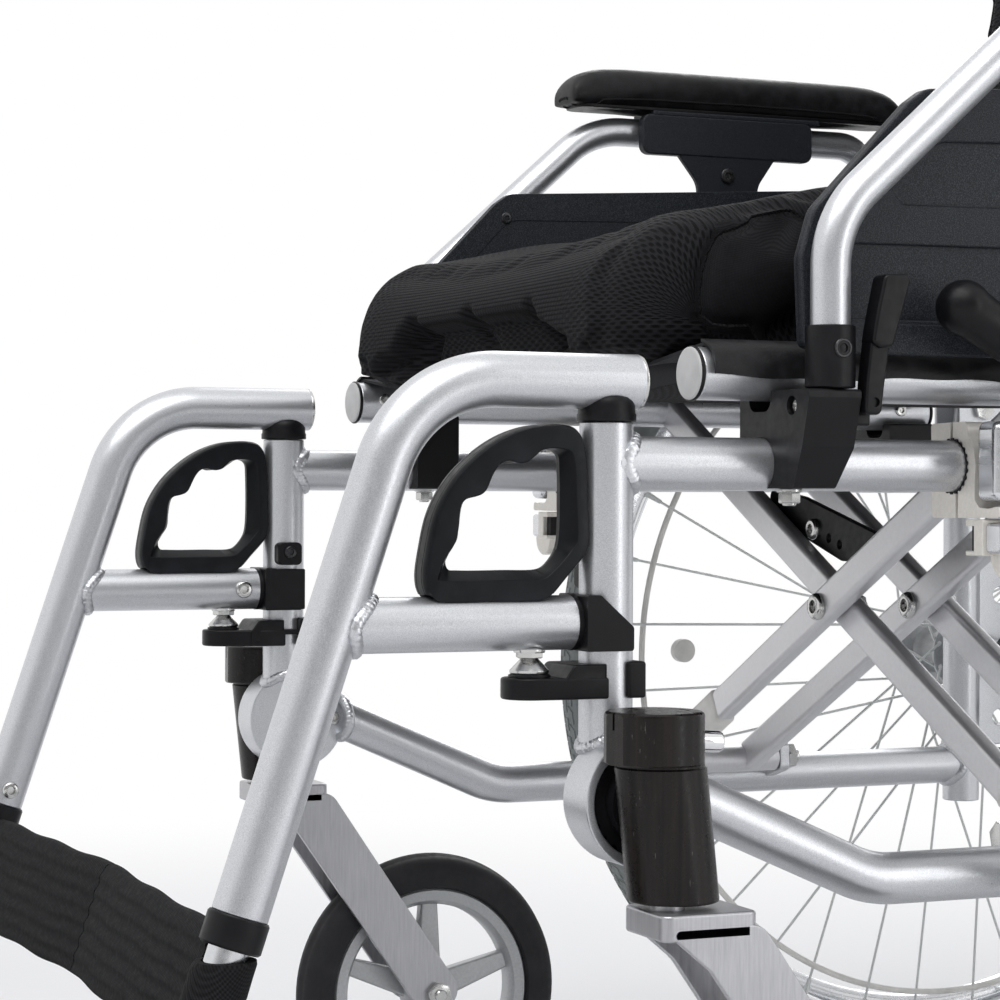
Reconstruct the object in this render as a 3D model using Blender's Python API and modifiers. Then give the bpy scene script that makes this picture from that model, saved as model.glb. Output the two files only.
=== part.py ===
"""Reclining folding wheelchair, built as separate named pieces in metres, +Z up, front facing -Y.
Sizes below are millimetres in a working frame whose Y zero is the front post; place() moves them
to the part's own frame, whose origin is on the floor below the middle of the chair."""
import math
import bpy
import bmesh
from mathutils import Matrix, Vector

# Working frame
MM = 0.001
GAP = 0.3
FLAT_GAP = 0.05

# Side frame tubes
TUBE_R = 12.7
FRAME_X = 233.0
POST_TOP = 451.0
POST_FOOT = 262.0
SIDE_Z = 432.0
LOWER_Z = 230.0
LOWER_BEND_Y = 143.0
RING_Y = 9.5
RING_Z = 276.0
RING_R = 31.0
RING_WALL = 4.5
RING_IN = 232.0
RING_OUT = 258.0
REAR_POST_Y = 500.0
REAR_POST_TOP = 455.0
REAR_POST_FOOT = 205.0

# Rear wheels
AXLE_Y = 529.0
AXLE_Z = 305.0
WHEEL_R = 305.0
WHEEL_X = 301.0
TYRE_R = 13.5
RIM_R = 283.0
HANDRIM_R = 262.0
HANDRIM_X = 327.0
SPOKES = 16
WHEEL_STEPS = 28
AXLE_R = 6.2

# Casters
STEM_X = 285.0
STEM_Y = 6.0
HOUSING_X = 281.5
HOUSING_Y = 1.2
HOUSING_R = 21.0
HOUSING_TOP = 320.0
HOUSING_SEAM = 296.0
HOUSING_FOOT = 234.0
HOUSING_LEAN = 0.11
CASTER_R = 90.0
CASTER_W = 30.0
CASTER_TRAIL = 112.0
FORK_TOP = 231.0
FORK_CLEAR = 2.0
FORK_T = 4.0

# Cross brace
PIVOT_X = 208.0
PIVOT_Z = 243.0
CROSS_Z = 352.5
SEAT_X = 230.0
SEAT_Z = 475.0
SEAT_FRONT = 47.0
SEAT_REAR = 464.0
BAR_H = 20.0
BAR_D = 12.0
BAR_A_Y = 255.0
BAR_PITCH = 62.0
PIN_R = 5.0

# Hangers and footplates
HANGER_TOP_Z = 470.0
HANGER_BACK_Y = 16.0
HANGER_KNEE_Y = -98.0
HANGER_SLOPE = 0.336
HANGER_END_Z = 231.0
CROSSBAR_Z = 358.0
EXT_R = 9.5
CONE_Y = -39.0
CONE_SEAT_R = 13.2
HANDLE_CLEAR = 0.8
HANDLE_W = 17.0
FOOT_Z = 105.0
FOOT_REACH = 150.0
FOOT_BACK = 26.0
FOOT_DROP = 18.0
FOOT_IN_X = 30.0
FOOT_T = 9.0

# Armrests
ARM_X = 268.0
ARM_R = 9.5
ARM_FRONT_Y = 99.5
ARM_TOP_Z = 662.0
ARM_REAR_Y = 445.0
ARM_PIVOT_Z = 462.0
SOCKET_FRONT = 82.0
SOCKET_BACK = 110.0
LATCH_IN = 271.5
CLAMP_FRONT = 185.0
CLAMP_BACK = 209.0
PANEL_IN = 248.0
PANEL_T = 8.0
PAD_IN = 246.5
PAD_OUT = 283.0

# Back
CANE_X = 231.0
CANE_R = 11.0
CANE_LEAN = 8.0
CANE_LEN = 560.0
HINGE_Y = 505.0
HINGE_Z = 478.0
HANDLE_AT = 468.0
LEVER_BACK = 50.0
LEVER_DROP = 24.0
STRUT_X = 213.5
STRUT_ARM = 60.0
STRUT_ANGLE = 25.0
RECLINE = 50.0

# Seat
CUSHION_W = 213.0
CUSHION_FRONT = 20.0
CUSHION_REAR = 455.0
CUSHION_CORNER = 38.0
CUSHION_NOSE_Z = 503.5
CUSHION_TOP_Z = 556.0
SAG = 14.0
CLOTH = 2.4

# Middle of the chair, halfway between the footplates' front edge and the tyres' rear
FOOT_FRONT = HANGER_KNEE_Y - HANGER_SLOPE * (HANGER_TOP_Z - FOOT_Z - FOOT_DROP) - FOOT_REACH
Y_MID = (AXLE_Y + WHEEL_R + FOOT_FRONT) / 2

MATERIALS = {
    "frame_silver": ((0.60, 0.61, 0.63), 0.38, 0.85),
    "bracket_alloy": ((0.62, 0.60, 0.56), 0.45, 0.80),
    "plastic_black": ((0.022, 0.022, 0.025), 0.48, 0.0),
    "panel_black": ((0.030, 0.033, 0.038), 0.62, 0.0),
    "housing_black": ((0.020, 0.017, 0.015), 0.28, 0.6),
    "fork_grey": ((0.45, 0.45, 0.46), 0.42, 0.85),
    "tyre_grey": ((0.33, 0.34, 0.35), 0.75, 0.0),
    "caster_grey": ((0.05, 0.05, 0.055), 0.7, 0.0),
    "rim_steel": ((0.62, 0.63, 0.65), 0.28, 0.95),
    "brace_grey": ((0.55, 0.55, 0.57), 0.40, 0.80),
    "mesh_black": ((0.020, 0.020, 0.022), 0.9, 0.0),
    "sling_grey": ((0.060, 0.060, 0.065), 0.9, 0.0),
    "pad_black": ((0.028, 0.028, 0.030), 0.6, 0.0),
    "grip_black": ((0.028, 0.028, 0.030), 0.7, 0.0),
    "rod_chrome": ((0.75, 0.75, 0.76), 0.15, 1.0),
}

PARTS = None
CUTTERS = None
MATS = {}


def clean_scene():
    for ob in list(bpy.data.objects):
        bpy.data.objects.remove(ob, do_unlink=True)


def make_collections():
    global PARTS, CUTTERS
    PARTS = bpy.data.collections.new("reclining_wheelchair")
    CUTTERS = bpy.data.collections.new("cutters")
    bpy.context.scene.collection.children.link(PARTS)
    bpy.context.scene.collection.children.link(CUTTERS)


def make_materials():
    for name, (rgb, rough, metal) in MATERIALS.items():
        mat = bpy.data.materials.new(name)
        mat.use_nodes = True
        node = mat.node_tree.nodes["Principled BSDF"]
        node.inputs["Base Color"].default_value = (*rgb, 1.0)
        node.inputs["Roughness"].default_value = rough
        node.inputs["Metallic"].default_value = metal
        MATS[name] = mat


def weld(mesh, dist=0.0005):
    bm = bmesh.new()
    bm.from_mesh(mesh)
    bmesh.ops.remove_doubles(bm, verts=bm.verts, dist=dist)
    bmesh.ops.recalc_face_normals(bm, faces=bm.faces)
    bm.to_mesh(mesh)
    bm.free()
    return mesh


def baked(ob, dist=0.0005):
    """Evaluated mesh of an object, in working millimetres; the object is removed."""
    graph = bpy.context.evaluated_depsgraph_get()
    graph.update()
    mesh = bpy.data.meshes.new_from_object(ob.evaluated_get(graph))
    mesh.transform(ob.matrix_world)
    bpy.data.objects.remove(ob, do_unlink=True)
    return weld(mesh, dist)


def bend(points, radii, steps=3):
    """Polyline with each inner corner replaced by an arc."""
    pts = [Vector(p) for p in points]
    out = [pts[0]]
    for i in range(1, len(pts) - 1):
        a = (pts[i - 1] - pts[i]).normalized()
        b = (pts[i + 1] - pts[i]).normalized()
        radius = radii[i - 1] if isinstance(radii, (list, tuple)) else radii
        half = a.angle(b) / 2
        run = radius / math.tan(half)
        start = pts[i] + a * run
        end = pts[i] + b * run
        centre = pts[i] + (a + b).normalized() * (radius / math.sin(half))
        u = start - centre
        v = end - centre
        turn = u.angle(v)
        for k in range(steps + 1):
            t = k / steps
            w = (math.sin((1 - t) * turn) * u + math.sin(t * turn) * v) / math.sin(turn)
            out.append(centre + w)
    out.append(pts[-1])
    return out


def tube(points, radius, res=3):
    """Closed round tube along a polyline."""
    curve = bpy.data.curves.new("tube", "CURVE")
    curve.dimensions = "3D"
    line = curve.splines.new("POLY")
    line.points.add(len(points) - 1)
    for p, q in zip(line.points, points):
        p.co = (q[0], q[1], q[2], 1.0)
    curve.bevel_depth = radius
    curve.bevel_resolution = res
    curve.use_fill_caps = True
    ob = bpy.data.objects.new("tube", curve)
    CUTTERS.objects.link(ob)
    return baked(ob)


def plate(outlines, axis, low, high, bevel=0.0):
    """Flat piece from closed outlines, extruded along a working axis from low to high.
    Outline pairs are (y, z) for axis X, (x, z) for axis Y and (x, y) for axis Z."""
    curve = bpy.data.curves.new("plate", "CURVE")
    curve.dimensions = "2D"
    curve.fill_mode = "BOTH"
    for outline in outlines:
        line = curve.splines.new("POLY")
        line.points.add(len(outline) - 1)
        for p, q in zip(line.points, outline):
            p.co = (q[0], q[1], 0.0, 1.0)
        line.use_cyclic_u = True
    curve.extrude = (high - low) / 2 - bevel
    curve.bevel_depth = bevel
    curve.offset = -bevel
    curve.bevel_resolution = 0
    ob = bpy.data.objects.new("plate", curve)
    CUTTERS.objects.link(ob)
    mid = (low + high) / 2
    turns = {
        "X": Matrix(((0, 0, 1, mid), (1, 0, 0, 0), (0, 1, 0, 0), (0, 0, 0, 1))),
        "Y": Matrix(((1, 0, 0, 0), (0, 0, -1, mid), (0, 1, 0, 0), (0, 0, 0, 1))),
        "Z": Matrix.Translation((0, 0, mid)),
    }
    ob.matrix_world = turns[axis]
    bpy.context.view_layer.update()
    return baked(ob)


def rounded(points, radius, steps=1):
    """Closed outline with rounded corners."""
    pts = [Vector((p[0], p[1], 0)) for p in points]
    out = []
    for i, p in enumerate(pts):
        a = pts[i - 1] - p
        b = pts[(i + 1) % len(pts)] - p
        r = radius[i] if isinstance(radius, (list, tuple)) else radius
        if r <= 0:
            out.append((p.x, p.y))
            continue
        half = a.angle(b) / 2
        run = min(r / math.tan(half), 0.49 * min(a.length, b.length))
        r = run * math.tan(half)
        a.normalize()
        b.normalize()
        centre = p + (a + b).normalized() * (r / math.sin(half))
        u = p + a * run - centre
        v = p + b * run - centre
        turn = u.angle(v)
        for k in range(steps + 1):
            t = k / steps
            w = (math.sin((1 - t) * turn) * u + math.sin(t * turn) * v) / math.sin(turn)
            out.append((centre.x + w.x, centre.y + w.y))
    return out


def box(x0, x1, y0, y1, z0, z1, bevel=0.0):
    bm = bmesh.new()
    bmesh.ops.create_cube(bm, size=1.0)
    for v in bm.verts:
        v.co.x = (x0 + x1) / 2 + v.co.x * (x1 - x0)
        v.co.y = (y0 + y1) / 2 + v.co.y * (y1 - y0)
        v.co.z = (z0 + z1) / 2 + v.co.z * (z1 - z0)
    if bevel > 0:
        bmesh.ops.bevel(bm, geom=list(bm.edges), offset=bevel, segments=1, affect="EDGES", profile=0.5)
    mesh = bpy.data.meshes.new("box")
    bm.to_mesh(mesh)
    bm.free()
    return mesh


def rod(p0, p1, r0, r1=None, sides=12):
    """Round bar or cone between two points."""
    a = Vector(p0)
    b = Vector(p1)
    axis = b - a
    bm = bmesh.new()
    r1 = r0 if r1 is None else r1
    bmesh.ops.create_cone(bm, cap_ends=True, segments=sides, radius1=r0, radius2=r1, depth=axis.length)
    turn = Vector((0, 0, 1)).rotation_difference(axis.normalized()).to_matrix().to_4x4()
    bm.transform(Matrix.Translation((a + b) / 2) @ turn)
    mesh = bpy.data.meshes.new("rod")
    bm.to_mesh(mesh)
    bm.free()
    return mesh


def ball(centre, radius, sides, rings):
    bm = bmesh.new()
    bmesh.ops.create_uvsphere(bm, u_segments=sides, v_segments=rings, radius=radius)
    for v in bm.verts:
        v.co += Vector(centre)
    mesh = bpy.data.meshes.new("ball")
    bm.to_mesh(mesh)
    bm.free()
    return mesh


def turned(profile, centre, steps):
    """Closed profile of (radius, x) pairs turned about the X axis through a centre."""
    mesh = bpy.data.meshes.new("profile")
    verts = [(p[1], 0.0, p[0]) for p in profile]
    count = len(verts)
    edges = [(i, (i + 1) % count) for i in range(count)]
    mesh.from_pydata(verts, edges, [])
    ob = bpy.data.objects.new("profile", mesh)
    CUTTERS.objects.link(ob)
    mod = ob.modifiers.new("turn", "SCREW")
    mod.axis = "X"
    mod.steps = steps
    mod.render_steps = steps
    mod.use_merge_vertices = True
    mod.merge_threshold = 0.0001
    ob.location = centre
    bpy.context.view_layer.update()
    return baked(ob)


def shaped(base, adds=(), cuts=()):
    """Union and difference of meshes, worked out exactly."""
    ob = bpy.data.objects.new("shape", base)
    CUTTERS.objects.link(ob)
    tools = []
    for kind, group in (("UNION", adds), ("DIFFERENCE", cuts)):
        for mesh in group:
            tool = bpy.data.objects.new("cutter", mesh)
            tool.display_type = "WIRE"
            tool.hide_render = True
            CUTTERS.objects.link(tool)
            mod = ob.modifiers.new(kind.lower(), "BOOLEAN")
            mod.operation = kind
            mod.solver = "EXACT"
            mod.object = tool
            tools.append(tool)
    bpy.context.view_layer.update()
    mesh = baked(ob, 0.002)
    for tool in tools:
        bpy.data.objects.remove(tool, do_unlink=True)
    return mesh


def mirrored(mesh):
    other = mesh.copy()
    other.transform(Matrix.Diagonal((-1, 1, 1, 1)))
    other.flip_normals()
    return other


def place(name, mesh, material, pivot=None):
    """Object with its origin on its pivot, in the part's own frame."""
    mesh = mesh.copy()
    at = Vector(pivot) if pivot else Vector((0, Y_MID, 0))
    mesh.transform(Matrix.Scale(MM, 4) @ Matrix.Translation(-at))
    mesh.name = name
    mesh.materials.clear()
    mesh.materials.append(MATS[material])
    ob = bpy.data.objects.new(name, mesh)
    ob.location = Vector((at.x, at.y - Y_MID, at.z)) * MM
    PARTS.objects.link(ob)
    return ob


def both(name, mesh, material, pivot=None):
    """The near (left) piece and its mirror image on the right."""
    place(name + "_left", mesh, material, pivot)
    other = (-pivot[0], pivot[1], pivot[2]) if pivot else None
    place(name + "_right", mirrored(mesh), material, other)


def hole_radius(radius, sides):
    """Radius of a faceted hole whose flats stay clear of a round piece."""
    return (radius + FLAT_GAP) / math.cos(math.pi / sides)


def hanger_y(z):
    """Fore and aft place of the hanger's sloping leg at a height."""
    return HANGER_KNEE_Y - HANGER_SLOPE * (HANGER_TOP_Z - z)


def side_frame():
    x = FRAME_X
    post = tube([(x, 0, POST_FOOT), (x, 0, POST_TOP)], TUBE_R)
    side = tube([(x, 1, SIDE_Z), (x, REAR_POST_Y, SIDE_Z)], TUBE_R)
    lower_path = [(x, RING_Y + 21, 279.5), (x, LOWER_BEND_Y, LOWER_Z), (x, REAR_POST_Y + 2, LOWER_Z)]
    lower = tube(bend(lower_path, 60.0), TUBE_R)
    rear = tube([(x, REAR_POST_Y, REAR_POST_FOOT), (x, REAR_POST_Y, REAR_POST_TOP)], TUBE_R)
    ring = rod((RING_IN, RING_Y, RING_Z), (RING_OUT, RING_Y, RING_Z), RING_R, sides=16)
    inboard = rod((RING_IN - 20, RING_Y, RING_Z), (RING_IN, RING_Y, RING_Z), RING_R - 1, sides=16)
    hollow = rod((RING_IN + 8, RING_Y, RING_Z), (RING_OUT + 9, RING_Y, RING_Z), RING_R - RING_WALL, sides=16)
    collars = [
        rod((x, 11.5, SIDE_Z), (x, 15.5, SIDE_Z), TUBE_R + 2.6, TUBE_R + 0.8, sides=10),
    ]
    corners = [(REAR_POST_Y + 11, 243), (566, 243), (566, 372), (REAR_POST_Y + 11, 372)]
    axle_plate = plate([rounded(corners, 8)], "X", 230.5, 235.5)
    holes = [rod((220, 551, z), (246, 551, z), 5.5, sides=6) for z in (284, 326)]
    holes += [rod((220, 530, z), (246, 530, z), 5.5, sides=6) for z in (262, 348)]
    receiver = rod((221, AXLE_Y, AXLE_Z), (262, AXLE_Y, AXLE_Z), 11.5, sides=10)
    nut = rod((217, AXLE_Y, AXLE_Z), (223, AXLE_Y, AXLE_Z), 14.0, sides=6)
    strut_arm = box(224.5, 234, 556, 588, 254, 274, 0)
    lugs = [lug(y) for y in (BAR_A_Y - 12, BAR_A_Y + BAR_PITCH + 24)]
    pin = rod((PIVOT_X, BAR_A_Y - 14, PIVOT_Z), (PIVOT_X, BAR_A_Y + BAR_PITCH + 26, PIVOT_Z), PIN_R, sides=10)
    bore = rod((210, AXLE_Y, AXLE_Z), (270, AXLE_Y, AXLE_Z), AXLE_R + 0.5, sides=12)
    socket_mid = (SOCKET_FRONT + SOCKET_BACK) / 2
    socket_nut = rod((x + 3, socket_mid, 412.6), (x + 3, socket_mid, 420.2), 6.2, sides=6)
    tubes = shaped(shaped(post, [lower]), cuts=[inboard])
    frame = shaped(tubes, [side, rear, ring, socket_nut] + collars)
    frame = shaped(frame, [axle_plate, receiver, nut, strut_arm] + lugs, [hollow])
    return shaped(frame, [pin] + recline_bracket(), holes + [bore])


def recline_bracket():
    """Two plates on the rear post for the cane's pivot bolt, flush outside for the armrest to pass."""
    outline = rounded([(487, 412), (519, 412), (524, 492), (512, 500), (494, 497), (486, 480)], 6)
    plates = [plate([outline], "X", 215.5, 219.5), plate([outline], "X", 243.7, 247.2)]
    bolts = [rod((217, HINGE_Y, HINGE_Z), (245, HINGE_Y, HINGE_Z), 4.0, sides=10)]
    bolts.append(rod((212, HINGE_Y, HINGE_Z), (216, HINGE_Y, HINGE_Z), 8.0, sides=6))
    for z in (424, 444):
        bolts.append(rod((217, 500, z), (233, 500, z), 5.0, sides=6))
        bolts.append(rod((212.5, 500, z), (216.5, 500, z), 6.5, sides=6))
    return plates + bolts


def lug(y):
    """Ear on the lower tube that carries the cross brace pin."""
    outline = rounded([(200, 235), (233, 225), (234, 241.5), (214, 253), (201, 253)], [4, 1, 1, 4, 4])
    return plate([outline], "Y", y - 3.5, y + 3.5)


def stop_block():
    """Moulded C clamp on the post whose round front part carries the hanger's cone."""
    x = FRAME_X
    plan = [(x - CONE_SEAT_R, CONE_Y)]
    for k in range(1, 8):
        a = math.pi * (1 + k / 8)
        plan.append((x - 0.3 + CONE_SEAT_R * math.cos(a), CONE_Y + CONE_SEAT_R * math.sin(a)))
    plan += [(x + CONE_SEAT_R, CONE_Y), (247, -20), (247, -4), (213.5, -4), (213.5, -20)]
    front = plate([plan], "Z", 323, 333)
    rise_edge = [(-23, 325), (-21, 332.8), (-8, 339), (-4.5, 339), (-4.5, 325)]
    rise = plate([rise_edge], "X", 214, 246.6)
    back = box(213.5, 247, 5, 14.5, 323, 340)
    bridge = box(213.6, 222, -8, 9, 323.4, 338.6, 0)
    post_hole = rod((x, 0, 300), (x, 0, 400), hole_radius(TUBE_R, 12), sides=12)
    return shaped(front, [rise, bridge, back], [post_hole])


def socket_block(y0, y1, latch):
    """Block clamped round the side tube, with a saddle for the seat tube and the armrest socket outboard."""
    mid = (y0 + y1) / 2
    outer = 274.5 if latch else 284.0
    outline = [(212, 420.5), (outer - 6, 420.5), (outer, 440), (outer, 467), (212, 467)]
    base = plate([rounded(outline, [2, 6, 2, 2, 3])], "Y", y0, y1)
    side_hole = rod((FRAME_X, y0 - 5, SIDE_Z), (FRAME_X, y1 + 5, SIDE_Z), hole_radius(TUBE_R, 16), sides=16)
    saddle = rod((SEAT_X, y0 - 5, SEAT_Z), (SEAT_X, y1 + 5, SEAT_Z), TUBE_R + 0.6, sides=14)
    if latch:
        ear = box(262, LATCH_IN - GAP, y1 - 2, y1 + 11, 450, 464, 0)
        return shaped(base, [ear], [side_hole, saddle])
    slot = box(257.5, 278.5, y0 - 2, y1 + 2, 446, 470, 0)
    ears = [box(a, b, mid - 12, mid + 12, 455, 474, 0) for a, b in ((252, 257.5), (278.5, 284))]
    pin = rod((250.5, ARM_REAR_Y, ARM_PIVOT_Z), (285.5, ARM_REAR_Y, ARM_PIVOT_Z), 4.0, sides=10)
    block = shaped(base, ears, [side_hole, saddle, slot])
    return shaped(block, [pin])


def brake_mount():
    """Slit clamp on the side tube with a flared foot, a C bracket and the plate for the brake's pivot."""
    section = [(214, 405.3), (280.6, 405), (280.6, 410.4), (272, 409.8), (260, 412.6), (257.4, 418.5)]
    section += [(261.2, 425.7), (259.8, 439.3), (252, 446.7), (252.8, 454.6), (214, 455)]
    clamp = plate([section], "Y", CLAMP_FRONT, CLAMP_BACK)
    hole = rod((FRAME_X, 160, SIDE_Z), (FRAME_X, 240, SIDE_Z), hole_radius(TUBE_R, 16), sides=16)
    slit = box(235, 238, 160, 240, 440, 470, 0)
    bracket = box(246, 275, CLAMP_FRONT + 5, CLAMP_BACK + 11, 381, 405.4, 0)
    channel = box(249.5, 290, CLAMP_FRONT, CLAMP_BACK + 20, 384.5, 401.5, 0)
    web = box(255, 268.5, CLAMP_FRONT + 1.4, 258, 424, 454, 0)
    sheath = box(262, 275, CLAMP_FRONT + 1.4, 219, 422.5, 454.5)
    pivot = rod((266, 246, 447), (284, 246, 447), 5.0, sides=8)
    head = rod((282.5, 246, 447), (285.5, 246, 447), 8.0, sides=6)
    clamp = shaped(clamp, cuts=[hole, slit])
    return shaped(clamp, [shaped(bracket, cuts=[channel]), web, sheath, pivot, head])


def caster_housing():
    """Round bearing housing outboard of the ring, under a wider cap, leaning back towards its foot."""
    count = 16
    body = plate([list(ring_points(HOUSING_X, HOUSING_Y, HOUSING_R, count))], "Z", HOUSING_FOOT, HOUSING_SEAM - 0.8)
    for v in body.vertices:
        v.co.y += 3 + (HOUSING_SEAM - v.co.z) * HOUSING_LEAN
    cap_edge = list(ring_points(HOUSING_X, HOUSING_Y, HOUSING_R + 1.8, count))
    cap = plate([cap_edge], "Z", HOUSING_SEAM, HOUSING_TOP, 1.2)
    pin_y = HOUSING_Y + HOUSING_R
    pin = rod((HOUSING_X + 3, pin_y, 306), (HOUSING_X + 3, pin_y + 12, 305.2), 5.0, sides=10)
    core = rod((HOUSING_X, STEM_Y, 286), (HOUSING_X, STEM_Y, 308), 9.0, sides=8)
    plug_r = RING_R - RING_WALL - 0.9
    insert = rod((RING_IN + 8 + GAP, RING_Y, RING_Z), (RING_OUT - 3, RING_Y, RING_Z), plug_r, sides=16)
    boss = rod((RING_OUT - 5, RING_Y, RING_Z), (HOUSING_X - 12, RING_Y, RING_Z), RING_R - 12, sides=12)
    stem_hole = rod((STEM_X, STEM_Y, 220), (STEM_X, STEM_Y, 262), 8.4, sides=12)
    return shaped(body, [core, cap, pin, insert, boss], [stem_hole])


def caster_fork():
    """Two slanting legs under a crown, with the stem that turns in the housing."""
    wheel_y = STEM_Y + CASTER_TRAIL
    outline = [(STEM_Y - 12, 225), (STEM_Y + 38, 225), (wheel_y + 17, 92), (wheel_y + 4, 74)]
    outline += [(wheel_y - 15, 84), (STEM_Y + 12, 205)]
    leg_outline = rounded(outline, [0, 0, 10, 10, 10, 0])
    inner = CASTER_W / 2 + FORK_CLEAR
    outer = inner + FORK_T
    legs = [plate([leg_outline], "X", STEM_X + a, STEM_X + b) for a, b in ((-outer, -inner), (inner, outer))]
    crown_outline = [(STEM_X + a * outer, STEM_Y + b) for a, b in ((-1, -12), (1, -12), (1, 36), (-1, 36))]
    crown = plate([rounded(crown_outline, 4)], "Z", 219, FORK_TOP)
    stem = rod((STEM_X, STEM_Y, 225), (STEM_X, STEM_Y, 260), 8.0, sides=12)
    left = STEM_X + outer
    right = STEM_X - outer
    axle = rod((right - 3, wheel_y, CASTER_R), (left + 3, wheel_y, CASTER_R), 4.0, sides=10)
    ends = ((right - 5, right + 0.5), (left - 0.5, left + 5))
    nuts = [rod((a, wheel_y, CASTER_R), (b, wheel_y, CASTER_R), 7.5, sides=6) for a, b in ends]
    return shaped(crown, legs + [stem, axle] + nuts)


def caster_wheel():
    """Moulded wheel: grey tread on a dished hub, open bore for the axle."""
    half = CASTER_W / 2
    r = CASTER_R
    hub = half - 1
    profile = [(4.3, -hub), (14, -hub), (18, -6), (62, -5), (70, -half), (r, -6),
               (r, 6), (70, half), (62, 5), (18, 6), (14, hub), (4.3, hub)]
    return turned(profile, (STEM_X, STEM_Y + CASTER_TRAIL, r), 18)


def rear_tyre():
    ring = []
    for k in range(5):
        a = math.radians(-116 + 58 * k)
        ring.append((WHEEL_R - TYRE_R + TYRE_R * math.cos(a), TYRE_R * math.sin(a)))
    ring.append((RIM_R + 2 * GAP, 7.0))
    ring.append((RIM_R + 2 * GAP, -7.0))
    return turned(ring, (WHEEL_X, AXLE_Y, AXLE_Z), WHEEL_STEPS)


def rear_rim():
    """Rim, hub, spokes and quick-release axle."""
    c = (WHEEL_X, AXLE_Y, AXLE_Z)
    rim_profile = [(RIM_R, -8.5), (RIM_R, 8.5), (RIM_R - 8, 9.5), (RIM_R - 17, 0), (RIM_R - 8, -9.5)]
    rim = turned(rim_profile, c, WHEEL_STEPS)
    hub_profile = [(3, -34), (16, -34), (27, -29), (14, -24), (14, 12), (27, 17), (16, 22), (3, 22)]
    hub = turned(hub_profile, c, 10)
    spokes = []
    for k in range(SPOKES):
        side = -29.0 if k % 2 else 17.0
        a = 2 * math.pi * k / SPOKES
        cross = 1 if (k // 2) % 2 else -1
        lead = a + math.radians(48 * cross)
        hub_x = WHEEL_X + side + 1.5 * cross
        hub_end = (hub_x, AXLE_Y + 23 * math.cos(lead), AXLE_Z + 23 * math.sin(lead))
        reach = RIM_R - 12
        rim_x = WHEEL_X + side * 0.1 + 1.6 * cross
        rim_end = (rim_x, AXLE_Y + reach * math.cos(a), AXLE_Z + reach * math.sin(a))
        spokes.append(rod(hub_end, rim_end, 1.3, sides=3))
    axle = rod((224, AXLE_Y, AXLE_Z), (WHEEL_X + 30, AXLE_Y, AXLE_Z), AXLE_R, sides=10)
    button = rod((WHEEL_X + 22.5, AXLE_Y, AXLE_Z), (WHEEL_X + 31, AXLE_Y, AXLE_Z), 9.0, sides=8)
    wheel = shaped(hub, [axle, button, rim])
    wheel = shaped(wheel, spokes)
    return shaped(wheel, [handrim()])


def handrim():
    """Push rim on six stand-offs."""
    ring = [(HANDRIM_R + p[0], HANDRIM_X - WHEEL_X + p[1]) for p in ring_points(0, 0, 9, 6)]
    rim = turned(ring, (WHEEL_X, AXLE_Y, AXLE_Z), WHEEL_STEPS)
    posts = []
    for k in range(6):
        a = math.radians(30 + 60 * k)
        y = math.cos(a)
        z = math.sin(a)
        inner = RIM_R - 8
        start = (WHEEL_X + 5, AXLE_Y + inner * y, AXLE_Z + inner * z)
        end = (HANDRIM_X - 4, AXLE_Y + HANDRIM_R * y, AXLE_Z + HANDRIM_R * z)
        posts.append(rod(start, end, 3.5, sides=4))
    return shaped(rim, posts)


def hanger():
    """Swing-away hanger: bent tube, welded crossbar, lower sliding tube, stop cone and screws."""
    x = FRAME_X
    end_y = hanger_y(HANGER_END_Z)
    path = [(x, HANGER_BACK_Y, HANGER_TOP_Z), (x, HANGER_KNEE_Y, HANGER_TOP_Z), (x, end_y, HANGER_END_Z)]
    leg = tube(bend(path, 58.0, 3), TUBE_R + 0.3, 3)
    bar = tube([(x, hanger_y(CROSSBAR_Z), CROSSBAR_Z), (x, -17, CROSSBAR_Z)], TUBE_R)
    bar_y = hanger_y(CROSSBAR_Z)
    weld = ((x, bar_y + 8, CROSSBAR_Z), (x, bar_y + 20, CROSSBAR_Z))
    collar = rod(*weld, TUBE_R + 2.5, TUBE_R + 1.0, sides=10)
    low_y = hanger_y(FOOT_Z + FOOT_DROP)
    slide_path = [(x, hanger_y(236), 236), (x, low_y, FOOT_Z + FOOT_DROP), (x, low_y - 20, FOOT_Z)]
    slide_path.append((x, low_y - FOOT_REACH + 4, FOOT_Z))
    slide = tube(bend(slide_path, [14.0, 14.0], 2), EXT_R, 2)
    cone = [
        rod((x, CONE_Y, 334.6), (x, CONE_Y, 341), 8.6, 3.4, sides=10),
        rod((x, CONE_Y, 340), (x, CONE_Y, 347), 3.3, sides=8),
        rod((x, CONE_Y, 342.6), (x, CONE_Y, 346.5), 6.2, sides=6),
    ]
    screw_y = hanger_y(240)
    screw = rod((x - TUBE_R - 4.3, screw_y, 240), (x - TUBE_R + 3, screw_y, 240), 5.0, sides=8)
    cap = rod((x, 0, POST_TOP + GAP), (x, 0, 464), TUBE_R - 0.2, sides=10)
    z0 = HANGER_END_Z
    sleeve = rod((x, hanger_y(z0 - 13), z0 - 13), (x, hanger_y(z0 + 1), z0 + 1), TUBE_R + 1.6, sides=10)
    tubes = shaped(leg, [bar, collar, slide])
    return shaped(tubes, cone + [screw, cap, sleeve])


def hanger_saddle():
    """Moulded end of the crossbar that turns round the post."""
    outline = [(-16.7, 345), (-16.7, 371), (-10, 371), (7, 356), (7, 345)]
    post_hole = rod((FRAME_X, 0, 330), (FRAME_X, 0, 380), hole_radius(TUBE_R, 14), sides=14)
    return shaped(plate([rounded(outline, [1, 1, 2, 3, 2])], "X", 217, 249), cuts=[post_hole])


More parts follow.
